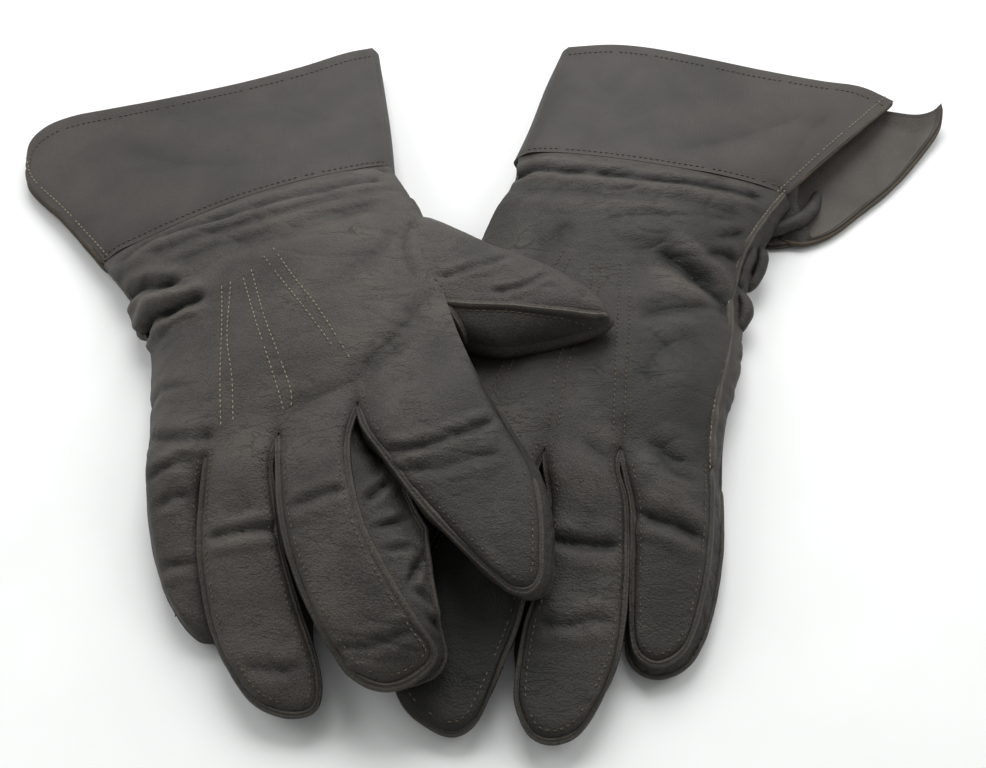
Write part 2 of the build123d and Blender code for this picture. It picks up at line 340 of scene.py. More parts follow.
class Shape:
    """Vertices, faces, marks of painted light, shade and wear, and marks of cut edges that become one mesh.
    """

    def __init__(self):
        self.points, self.faces, self.tone, self.raw, self.normals = [], [], [], [], []
        self.count = 0

    def add(self, points, faces, tone=0.0, raw=0.0, normals=None):
        points = np.asarray(points, float).reshape(-1, 3)
        size = len(points)
        self.points.append(points)
        self.faces += [[corner + self.count for corner in face] for face in faces]
        self.tone.append(np.broadcast_to(np.asarray(tone, float).ravel(), (size,)))
        self.raw.append(np.broadcast_to(np.asarray(raw, float).ravel(), (size,)))
        self.normals.append(np.zeros((size, 3)) if normals is None else normals.reshape(-1, 3))
        self.count += size

    def sheet(self, grid, thickness, tone=0.0, normals=None, raw_edge=0.0):
        """A closed sheet of leather: its outer face is the grid."""
        rows, columns = grid.shape[:2]
        square = grid_normals(grid)
        inner = grid - square * thickness
        size = rows * columns
        outer_faces = quads_of(rows, columns)
        inner_faces = [[corner + size for corner in face[::-1]] for face in outer_faces]
        index = np.arange(size).reshape(rows, columns)
        loop = [*index[:, 0], *index[-1, 1:], *index[::-1, -1][1:], *index[0, ::-1][1:-1]]
        pairs = zip(loop, loop[1:] + loop[:1])
        rim = [[int(b), int(a), int(a) + size, int(b) + size] for a, b in pairs]
        tone = np.broadcast_to(np.asarray(tone, float), (rows, columns))
        raw = np.zeros((rows, columns))
        raw[0], raw[-1], raw[:, 0], raw[:, -1] = raw_edge, raw_edge, raw_edge, raw_edge
        outer_normals = np.zeros(grid.shape) if normals is None else normals
        self.add(np.concatenate([grid, inner]), outer_faces + inner_faces + rim,
                 np.concatenate([tone, np.zeros_like(tone)]), np.concatenate([raw, raw]),
                 np.concatenate([outer_normals, np.zeros(grid.shape)]))

    def sweep(self, line, section, lean, raw_points=(), wobble=0.12, rawness=0.3, size=1.0, taper=5.0,
              tone=SEAM_TONE):
        """A strip of the given section along a line; lean tips its top outwards, to the line's right,
        and its ends narrow over the length taper."""
        tangent = np.gradient(line, axis=0)
        tangent /= np.linalg.norm(tangent, axis=1, keepdims=True)
        outward = np.stack([tangent[:, 1], -tangent[:, 0], np.zeros(len(line))], axis=1)
        up = np.array([0.0, 0.0, 1.0]) + outward * lean
        side = np.cross(tangent, up)
        side /= np.linalg.norm(side, axis=1, keepdims=True)
        up = np.cross(side, tangent)
        along = travelled(line)
        ends = 0.12 + 0.88 * rounded(np.minimum(along, along[-1] - along), taper)
        swell = size * ends * (1 + wobble * field(line, 5.0, 3.1))
        rings = np.stack([line + (side * x + up * z) * swell[:, None] for x, z in section], axis=1)
        raw = np.zeros(rings.shape[:2])
        raw[:, list(raw_points)] = rawness
        around = len(section)
        faces = quads_of(len(line), around, closed=True)
        last = (len(line) - 1) * around
        caps = [list(range(around)), [last + corner for corner in range(around)][::-1]]
        self.add(rings, [face[::-1] for face in faces + caps], tone, raw)

    def stitches(self, line, surface, pitch, long, gaps):
        """Short stitches along a line, on a surface where there is one; gaps leaves some out."""
        length = travelled(line)[-1]
        middles = evenly(line, max(2, int(length / pitch)))
        ways = np.gradient(middles, axis=0)
        for place, way in zip(middles, ways):
            if noise.noise((place / 2.7).tolist()) < gaps - 1.0:
                continue
            normal = np.array([0.0, 0.0, 1.0])
            if surface is not None:
                place, normal = dropped_on(surface, place)
                if place is None:
                    continue
            way = way - normal * (way @ normal)
            way /= max(np.linalg.norm(way), 1e-9)
            self.stitch(place + normal * STITCH_LIFT, way, normal, long)

    def stitch(self, middle, way, normal, long):
        """One stitch: a slim spindle that sinks at its ends."""
        side = np.cross(way, normal)
        stations = ((-0.5, 0.35, -0.5), (-0.3, 1.0, 0.2), (0.3, 1.0, 0.2), (0.5, 0.35, -0.5))
        turns = [2 * math.pi * k / 5 for k in range(5)]
        rings = []
        for along, size, rise in stations:
            centre = middle + way * along * long + normal * rise * STITCH_RADIUS
            spread = STITCH_RADIUS * size
            rings.append([centre + spread * (side * math.cos(t) + normal * math.sin(t)) for t in turns])
        faces = quads_of(len(stations), 5, closed=True)
        last = (len(stations) - 1) * 5
        self.add(np.array(rings), faces + [[4, 3, 2, 1, 0], [last + k for k in range(5)]])

    def finish(self, name, material, slot, angle):
        """Makes the mesh object, in metres and in the frame's place."""
        points = (np.concatenate(self.points) + SHIFT) * MM
        mesh = bpy.data.meshes.new(name)
        mesh.from_pydata(points, [], self.faces)
        mesh.shade_smooth()
        # The first mark paints shade in creases and shadowed patches, and light, with wear, on ridges and
        # lit patches; the second marks cut edges
        for mark, values in (("tone", self.tone), ("raw", self.raw)):
            attribute = mesh.attributes.new(mark, "FLOAT", "POINT")
            attribute.data.foreach_set("value", np.concatenate(values).astype(np.float32))
        mesh.materials.append(material)
        mesh.set_sharp_from_angle(angle=math.radians(angle))
        self.set_normals(mesh)
        piece = bpy.data.objects.new(name, mesh)
        bpy.context.scene.collection.objects.link(piece)
        return piece

    def set_normals(self, mesh):
        """Gives the mesh the normals asked for, on the faces where every vertex has one."""
        normals = np.concatenate(self.normals)
        outer = np.abs(normals).max(axis=1) > 0
        if not outer.any():
            return
        corners = np.zeros(len(mesh.loops), int)
        mesh.loops.foreach_get("vertex_index", corners)
        face_of = np.repeat(np.arange(len(self.faces)), [len(face) for face in self.faces])
        whole = np.array([outer[face].all() for face in self.faces])
        chosen = np.where(whole[face_of][:, None], normals[corners], 0.0)
        mesh.normals_split_custom_set(chosen.tolist())


def dropped_on(surface, place):
    """The point of a surface straight below a place, and the normal there."""
    hit, normal, _, _ = surface.ray_cast(Vector((place[0], place[1], 90.0)), Vector((0.0, 0.0, -1.0)))
    if hit is None:
        return None, None
    return np.array(hit), np.array(normal) * (1 if normal.z > 0 else -1)


def laid_on(surface, line):
    """The line dropped on a surface, where the surface is below it."""
    laid = []
    for place in line:
        hit, _ = dropped_on(surface, place)
        laid.append(place if hit is None else hit)
    return np.array(laid)


def surface_of(grids):
    """A searchable surface over several grids."""
    points, faces = [], []
    for grid in grids:
        start = len(points)
        points += [Vector(point) for point in grid.reshape(-1, 3)]
        faces += [[corner + start for corner in face] for face in quads_of(*grid.shape[:2])]
    return BVHTree.FromPolygons(points, faces)


# ---- Materials ----
class Paint:
    """A material under construction: short calls that add and link nodes."""

    def __init__(self, name, roughness=0.6, specular=0.4, sheen=0.0):
        self.material = bpy.data.materials.new(name)
        self.material.use_nodes = True
        self.tree = self.material.node_tree
        self.shader = self.tree.nodes["Principled BSDF"]
        self.shader.inputs["Roughness"].default_value = roughness
        self.shader.inputs["Specular IOR Level"].default_value = specular
        self.shader.inputs["Sheen Weight"].default_value = sheen
        self.shader.inputs["Sheen Roughness"].default_value = 0.5
        place = self.node("ShaderNodeTexCoord").outputs["Object"]
        scale = self.node("ShaderNodeVectorMath", operation="SCALE")
        scale.inputs["Scale"].default_value = 1 / MM
        self.link(place, scale.inputs[0])
        self.place = scale.outputs[0]

    def node(self, kind, **settings):
        made = self.tree.nodes.new(kind)
        for name, value in settings.items():
            setattr(made, name, value)
        return made

    def link(self, source, target):
        self.tree.links.new(source, target)

    def noise(self, scale, detail=3.0, distortion=0.0):
        made = self.node("ShaderNodeTexNoise")
        made.inputs["Scale"].default_value = scale
        made.inputs["Detail"].default_value = detail
        made.inputs["Distortion"].default_value = distortion
        self.link(self.place, made.inputs["Vector"])
        return made.outputs["Fac"]

    def cells(self, scale, feature="F1"):
        made = self.node("ShaderNodeTexVoronoi", feature=feature)
        made.inputs["Scale"].default_value = scale
        warp = self.node("ShaderNodeVectorMath", operation="ADD")
        wander = self.node("ShaderNodeTexNoise")
        wander.inputs["Scale"].default_value = scale * 0.7
        self.link(self.place, wander.inputs["Vector"])
        self.link(self.place, warp.inputs[0])
        self.link(wander.outputs["Color"], warp.inputs[1])
        self.link(warp.outputs[0], made.inputs["Vector"])
        return made.outputs["Distance"]

    def cracks(self):
        """Hair-fine cracks in patches, running mostly across the glove: 1 in a crack, 0 beside it."""
        stretch = self.node("ShaderNodeVectorMath", operation="MULTIPLY")
        stretch.inputs[1].default_value = (0.09, 0.26, 0.26)
        self.link(self.place, stretch.inputs[0])
        lines = self.node("ShaderNodeTexNoise")
        for name, value in (("Scale", 1.0), ("Detail", 4.0), ("Roughness", 0.5), ("Distortion", 0.7)):
            lines.inputs[name].default_value = value
        self.link(stretch.outputs[0], lines.inputs["Vector"])
        thin = self.ramp(lines.outputs["Fac"], ((0.475, 0.0), (0.5, 1.0), (0.525, 0.0)))
        patches = self.ramp(self.noise(0.05, 1.0), ((0.4, 0.0), (0.7, 1.0)))
        return self.sum(thin, patches, "MULTIPLY")

    def mark(self, name):
        made = self.node("ShaderNodeAttribute", attribute_name=name)
        return made.outputs["Fac"]

    def sum(self, first, second, operation="ADD"):
        made = self.node("ShaderNodeMath", operation=operation)
        for socket, value in zip(made.inputs, (first, second)):
            if isinstance(value, (int, float)):
                socket.default_value = value
            else:
                self.link(value, socket)
        return made.outputs[0]

    def ramp(self, value, stops):
        """A colour ramp over a value: stops are (position, colour or grey)."""
        made = self.node("ShaderNodeValToRGB")
        elements = made.color_ramp.elements
        while len(elements) < len(stops):
            elements.new(0.5)
        for element, (position, colour) in zip(elements, stops):
            element.position = position
            grey = isinstance(colour, (int, float))
            element.color = (colour,) * 3 + (1,) if grey else (*colour, 1)
        self.link(value, made.inputs["Fac"])
        return made.outputs["Color"]

    def mixed(self, share, first, second):
        made = self.node("ShaderNodeMix", data_type="RGBA")
        for socket, value in zip(made.inputs[6:8], (first, second)):
            if isinstance(value, tuple):
                socket.default_value = (*value, 1)
            else:
                self.link(value, socket)
        self.link(share, made.inputs[0])
        return made.outputs[2]

    def bumps(self, *layers):
        """Bump layers, coarse first: each is (height, depth in mm)."""
        previous = None
        for height, depth in layers:
            made = self.node("ShaderNodeBump")
            made.inputs["Distance"].default_value = depth * MM
            self.link(height, made.inputs["Height"])
            if previous is not None:
                self.link(previous, made.inputs["Normal"])
            previous = made.outputs["Normal"]
        self.link(previous, self.shader.inputs["Normal"])

    def colour(self, value):
        self.link(value, self.shader.inputs["Base Color"])

    def dull(self, value, low, high):
        """Roughness that follows a value between low and high."""
        made = self.node("ShaderNodeMapRange")
        made.inputs["To Min"].default_value = low
        made.inputs["To Max"].default_value = high
        self.link(value, made.inputs["Value"])
        self.link(made.outputs[0], self.shader.inputs["Roughness"])


def leather(name, dark, light, edge=(0.085, 0.067, 0.043), grain_depth=1.0, cracked=0.3):
    """Worn, fine-grained leather: mottled and cracked, paler on its ridges, which are rubbed and carry
    painted light, and dark with painted shade in its creases.
    """
    paint = Paint(name, specular=0.3)
    mottle = paint.noise(0.05, 5.0, 0.4)
    speckle = paint.noise(1.7, 4.0)
    blotch = paint.sum(paint.sum(mottle, 0.5, "MULTIPLY"), paint.sum(speckle, 0.5, "MULTIPLY"))
    body = paint.ramp(blotch, ((0.42, dark), (0.58, light)))
    # Painted light and shade from the mark: above its middle the leather turns paler, for rubbed, lit
    # ridges and lit patches; below it darker, for creases and shadowed patches
    shade = paint.sum(paint.sum(paint.mark("tone"), 0.5, "MULTIPLY"), 0.5)
    rubbed_and_lit = tuple(min(1.0, channel * 1.7) for channel in light)
    # The painted shade's dark colour, which also fills the cracks
    sunk = (dark[0] * 0.22, dark[1] * 0.27, dark[2] * 0.22)
    light_and_wear = paint.mixed(paint.ramp(shade, ((0.5, 0.0), (1.0, 0.6))), body, rubbed_and_lit)
    deep = paint.mixed(paint.ramp(shade, ((0.0, 0.95), (0.5, 0.0))), light_and_wear, sunk)
    cracks = paint.cracks()
    split = paint.mixed(paint.sum(cracks, cracked, "MULTIPLY"), deep, sunk)
    raw = paint.sum(paint.mark("raw"), paint.sum(paint.noise(0.35, 3.0), 1.5, "MULTIPLY"), "MULTIPLY")
    paint.colour(paint.mixed(raw, split, edge))
    paint.dull(speckle, 0.46, 0.68)
    furrows = paint.sum(1.0, cracks, "SUBTRACT")
    paint.bumps((furrows, 0.5 * cracked), (paint.cells(1.25), 0.10 * grain_depth),
                (paint.cells(2.6), 0.07 * grain_depth), (speckle, 0.15 * grain_depth))
    return paint.material


def fleece(name):
    """Matted wool pile."""
    paint = Paint(name, roughness=0.95, specular=0.1, sheen=0.4)
    tufts = paint.noise(1.1, 5.0, 2.5)
    paint.colour(paint.ramp(tufts, ((0.3, (0.16, 0.12, 0.085)), (0.7, (0.42, 0.35, 0.26)))))
    paint.bumps((paint.noise(0.35, 3.0), 0.8), (tufts, 0.6))
    return paint.material


def thread(name, dark, light):
    """Twisted sewing thread."""
    paint = Paint(name, roughness=0.8, specular=0.2)
    twist = paint.noise(2.6, 2.0, 1.0)
    paint.colour(paint.ramp(twist, ((0.35, dark), (0.65, light))))
    paint.bumps((twist, 0.1))
    return paint.material


def ribbing(name):
    """Woven elastic with fine ribs."""
    paint = Paint(name, roughness=0.85, specular=0.15)
    ribs = paint.node("ShaderNodeTexWave", wave_type="BANDS")
    ribs.inputs["Scale"].default_value = 0.5
    ribs.inputs["Distortion"].default_value = 0.4
    paint.link(paint.place, ribs.inputs["Vector"])
    paint.colour(paint.ramp(ribs.outputs["Fac"], ((0.2, (0.02, 0.018, 0.016)), (0.8, (0.09, 0.08, 0.07)))))
    paint.bumps((ribs.outputs["Fac"], 0.4), (paint.noise(2.0), 0.1))
    return paint.material


def floor_material():
    """A smooth, nearly white sweep of card."""
    paint = Paint("pale_floor", roughness=0.75, specular=0.2)
    paint.colour(paint.ramp(paint.noise(0.02, 4.0), ((0.3, (0.86, 0.865, 0.86)), (0.7, (0.9, 0.905, 0.9)))))
    return paint.material


MATERIALS = {
    "leather": leather("brown_leather", (0.027, 0.0228, 0.0195), (0.058, 0.051, 0.0435)),
    "palm_leather": leather("palm_leather", (0.024, 0.020, 0.017), (0.052, 0.044, 0.038)),
    "gusset_leather": leather("gusset_leather", (0.016, 0.0145, 0.012), (0.038, 0.034, 0.0285)),
    "cuff_leather": leather("cuff_leather", (0.026, 0.022, 0.019), (0.042, 0.036, 0.0315), grain_depth=0.7,
                            cracked=0.06),
    "facing": leather("facing_leather", (0.043, 0.0365, 0.030), (0.067, 0.057, 0.0485), grain_depth=0.6,
                      cracked=0.06),
    "binding": leather("binding_leather", (0.026, 0.018, 0.012), (0.065, 0.045, 0.029)),
    "lining": fleece("fleece_lining"),
    "elastic": ribbing("wrist_elastic"),
    "thread": thread("tan_thread", (0.15, 0.125, 0.085), (0.36, 0.31, 0.225)),
    "seam_thread": thread("seam_thread", (0.055, 0.045, 0.032), (0.15, 0.125, 0.085)),
}


# ---- The two gloves, in layout millimetres. Stalls go from the left to the right of the layout ----
def stall(finger, left, tip, right, lean, drop, puff=(2.2, 2.2), round_edge=5.0, root=None,
          seam=(0.0, 1.0), bulge=1.2, belly=1.6, seam_size=1.0):
    """A finger stall's top seam, as three runs, and its wall's lean and drop along that seam."""
    return {"finger": finger, "left": left, "tip": tip, "right": right, "lean": lean, "drop": drop,
            "puff": puff, "round": round_edge, "root": root, "seam": seam, "bulge": bulge,
            "belly": belly, "seam_size": seam_size}


RIGHT = {
    "side": "right",
    "stalls": [
        stall("little",
              [(-113, -33, 9), (-111, -51, 7), (-107, -67, 6), (-101, -82, 5), (-96, -90, 4.5)],
              [(-96, -90, 4.5), (-91, -96, 4), (-86, -99, 4), (-81, -97, 5)],
              [(-90, -42, 21), (-91, -54, 16), (-89, -70, 12), (-85, -85, 8), (-81, -97, 5)],
              lean=(-3, -3, -3, -1, 0), drop=(6.5, 5, 3, 6, 11), puff=(5, 2), round_edge=8,
              root=[(-111, -34, 15), (-105, -37, 19.5), (-97, -40, 22)], seam=(0.56, 1.0), bulge=0.5),
        stall("ring",
              [(-90, -42, 21), (-90, -57, 18), (-89, -73, 15), (-85, -90, 12), (-80, -102, 10)],
              [(-80, -102, 10), (-73, -113, 9), (-67, -119, 8), (-58, -122, 7.5), (-51, -120, 8.5)],
              [(-67, -38.5, 26), (-69, -48, 25), (-67, -60, 22), (-64, -75, 19), (-58, -92, 15),
               (-51, -110, 11), (-51, -120, 8.5)],
              lean=(0, 0, 0, -1, -3, -3, 5, 5, 0), drop=(11, 10, 9, 7, 5, 6, 8, 9, 11)),
        stall("middle",
              [(-67, -38.5, 26), (-66, -48, 26), (-64, -63, 25), (-60, -78, 24), (-53, -94, 22),
               (-43, -110, 19)],
              [(-43, -110, 19), (-38, -115, 18), (-30, -117.5, 17), (-22, -115, 18), (-17, -109, 20)],
              [(-42.5, -30, 31), (-45, -42, 31), (-44, -55, 31), (-39, -73, 30), (-30, -90, 28),
               (-22, -102, 25), (-17, -109, 20)],
              lean=(0, 1, 0, -2, -3.5, 8, 18, 16, 0), drop=(11, 10, 10, 8, 6, 4, 4.5, 6, 10), bulge=0.6,
              seam_size=1.25),
        stall("index",
              [(-42.5, -30, 31), (-39, -40, 32), (-33, -49, 32), (-20, -67, 31), (-6, -82, 29),
               (1, -88.5, 28)],
              [(1, -88.5, 28), (5.5, -92, 27), (10, -92.5, 27), (13, -88.5, 27.5)],
              [(-8, -14, 34), (-2, -28, 33.5), (4, -40, 33), (10, -52, 32), (12.5, -62, 31),
               (13.5, -72, 30), (13.5, -81, 29), (13, -88.5, 27.5)],
              lean=(0, -3, -3, -3, -3, 4, 4, 1, -2), drop=(10, 10, 10, 8, 6, 9, 11, 12, 13),
              seam=(0.0, 0.76), bulge=2.2, seam_size=1.3,
              root=[(-33, -25, 33.5), (-20, -19, 34.5)]),
    ],
    "left": [(-143, 49, 9), (-137, 40, 10), (-131, 33, 9.5), (-129.5, 26, 9), (-126, 18, 9),
             (-121, 12, 8.5), (-118, 4, 9), (-116, -8, 9), (-114, -20, 9), (-113, -33, 9)],
    "right": [(-40, 88, 20), (-36, 76, 25), (-30, 62, 28), (-25, 48, 30), (-21, 34, 32),
              (-18, 19, 33), (-13, 0, 34), (-8, -14, 34)],
    "wrist": [(-143, 49, 9), (-137, 51, 13), (-129, 53, 16), (-114, 58, 20.5), (-93, 66, 24.5),
              (-71, 74, 26), (-53, 81, 24.5), (-45, 85, 22.5), (-40, 88, 20)],
    "wrist_low": [(-129, 51, 2.5), (-114, 56, 3), (-93, 64, 4), (-71, 72, 5.5), (-53, 80, 7)],
    "left_wall": ((0, -3, -3), (6.5, 6.5, 6.5), 0.5),
    "right_wall": ((-1, -3, -2), (12, 14, 13), 1.5),
    "ripples": (0.5, 9.0),
    "tucks": (),
    "side_seam": (0.42, 0.74),
    "dome": 4.5,
    "thumb": stall("thumb",
                   [(-24, 4, 24), (-12, 0, 25), (2, -4, 26), (12, -3, 26.5), (22, -1, 27),
                    (31, 1, 28)],
                   [(31, 1, 28), (36, 2.5, 29), (39, 5, 30), (37, 10, 30.5), (33, 15, 31)],
                   [(-34, 54, 26), (-24, 52, 28), (-14, 46, 29.5), (-1, 37, 31), (13, 30, 31.5),
                    (24, 22, 31.5), (33, 15, 31)],
                   lean=(0, 0, 0, 0, 0), drop=(6, 6, 3, 6, 6), puff=(8, 4.5), round_edge=13, bulge=1.5,
                   seam=(0.0, 0.0)),
    "welt": [(-22, 12, 33.5), (-15, 9, 34.5), (-4, 7, 35.3), (9, 5.5, 35.3), (22, 4.2, 34.3),
             (31, 3.6, 32.5), (38, 4.6, 30.5)],
    "branches": ([(-17, 10, 34.2), (-14, 6, 32), (-9, -1, 27)], [(-16, 9.5, 34.5), (-21, 17, 35)]),
    "gusset_folds": [
        (1.3, 0.9, [(-39, -67), (-35, -61), (-30, -55)]),
        (1.2, 0.9, [(-37, -74), (-32, -72), (-24, -69)]),
        (1.5, 0.9, [(-25, -92), (-21, -83), (-17, -74)]),
        (1.2, 0.9, [(-24, -91), (-18, -94), (-11, -95)]),
        (1.0, 0.9, [(-34, -81), (-26, -79), (-16, -81)]),
        (1.1, 0.9, [(-20, -98), (-16, -100), (-11, -100)]),
    ],
    # Spots of painted light and shade, with some of the leather's own tone: the little finger is lightened
    # with painted light
    "shades": [(0, -72, -0.9), (-10, -45, -0.25), (-36, -90, 0.05), (-72, -95, 0.15), (-102, -62, 0.5),
               (-60, 0, 0.4), (-100, 20, -0.1), (-45, 55, 0.1)],
    "points_finish": "thread",
    "points": [((-92, 19), (-90, 3), (-88, -18), (-86, -34)),
               ((-89, 20), (-87.5, -2), (-84, -18), (-82, -33)),
               ((-84.5, 21), (-78, 2), (-72, -14), (-68, -25), (-66, -31)),
               ((-82, 24), (-75.5, 4), (-69, -12), (-64, -25), (-63.5, -30)),
               ((-78, 29), (-68, 14), (-60, 2), (-52, -10)), ((-75, 32), (-65, 16), (-57, 4), (-46, -15))],
    "folds": [
        (1.2, 1.7, [(-136, 42), (-131, 47), (-124, 51.5), (-111, 53.5), (-94, 54.5), (-79, 58.5), (-62, 63),
                    (-48, 69), (-38, 72)]),
        (0.8, 1.8, [(-126, 43), (-105, 45.5), (-82, 49), (-60, 56), (-34, 66)]),
        (0.45, 2.2, [(-116, 36), (-95, 39), (-72, 42), (-52, 50), (-32, 58)]),
        (1.2, 1.2, [(-56, 78.5), (-50, 80), (-44, 81), (-38, 77)]),
        (2.2, 1.7, [(-134, 28), (-129, 30), (-123, 30), (-116, 27), (-106, 27)]),
        (2.6, 1.6, [(-129, 11), (-122, 13), (-118, 16), (-110, 15), (-96, 18)]),
        (0.6, 1.4, [(-117, 5), (-108, 9), (-98, 10)]),
        (0.5, 1.3, [(-117, -18), (-108, -17), (-98, -19)]),
        (0.9, 1.5, [(-115, -31), (-107, -36), (-98, -38), (-86, -38)]),
        (0.5, 2.2, [(-66, -33), (-49, -26), (-37, -18), (-24, -8)]),
        (0.6, 2.6, [(-44, -22), (-30, -6), (-18, 16)]),
        (0.5, 3.0, [(-60, 8), (-44, 24), (-30, 44)]),
        (0.45, 2.6, [(-96, 40), (-76, 38), (-56, 46), (-38, 58)]),
        (0.9, 1.1, [(-34, -49), (-27, -50), (-14, -46), (2, -38)]),
        (0.5, 1.2, [(-30, -56), (-16, -56), (4, -50)]),
        (0.7, 1.2, [(-63, -66), (-55, -65), (-50, -64), (-42, -62)]),
        (1.1, 1.3, [(-88, -71), (-79, -71), (-71, -70), (-63, -70)]),
        (0.5, 2.6, [(-86, -66), (-76, -65), (-66, -64)]),
        (0.5, 1.2, [(-74, -110), (-62, -111), (-53, -110)]),
        (0.6, 1.3, [(-46, -108), (-36, -109), (-27, -106), (-20, -103)]),
        (0.7, 1.2, [(-106, -60), (-98, -57), (-92, -57)]),
        (0.8, 1.3, [(-110, -51), (-101, -46), (-93, -47)]),
        (0.6, 1.2, [(-104, -78), (-96, -77), (-88, -76)]),
        (0.5, 1.3, [(-27, 50), (-30, 34), (-24, 15)]),
        (0.75, 0.9, [(-19, 18), (-8, 22), (7, 28)]),
        (0.7, 0.9, [(-2, 11), (10, 14), (20, 20)]),
    ],
    "cuff": {
        "left": [(-143, 49, 9), (-153, 61, 8), (-165, 75, 7), (-180, 91, 6), (-185, 102, 6)],
        "right": [(-40, 88, 20), (-43, 114, 17), (-47, 141, 14), (-51, 167, 12)],
        "far": [(-185, 102, 6), (-186, 115, 6.5), (-181, 124, 7), (-171, 129, 8), (-157, 132, 9),
                (-133, 137, 10.5), (-104, 144, 12.5), (-80, 152, 14), (-62, 161, 14), (-51, 167, 12)],
        "low_left": [(-143, 49, 2.5), (-153, 60.5, 4), (-165, 74.5, 4), (-180.3, 90.5, 3), (-185, 102, 3)],
        "low_right": [(-41, 88, 8), (-44, 114, 6), (-48, 141, 4), (-52, 166, 3)],
        "low_far": [(-185, 102, 3), (-186, 115, 3), (-181, 123, 2), (-171, 128, 2.5), (-157, 131, 3),
                    (-133, 136, 3), (-104, 143, 3), (-80, 151, 3), (-62, 160, 3), (-52, 166, 3)],
        "folds": [(0.4, 5.0, [(-150, 110), (-120, 92), (-90, 88)]), (0.35, 6.0, [(-90, 130), (-60, 110)])],
        "rolls": [],
        # Spots of painted light and shade on the gauntlet's back, with some of the leather's own tone
        "shades": [(-172, 100, 0.2), (-120, 105, -0.35), (-70, 125, -0.2)],
        "vent_side": "left",
    },
}

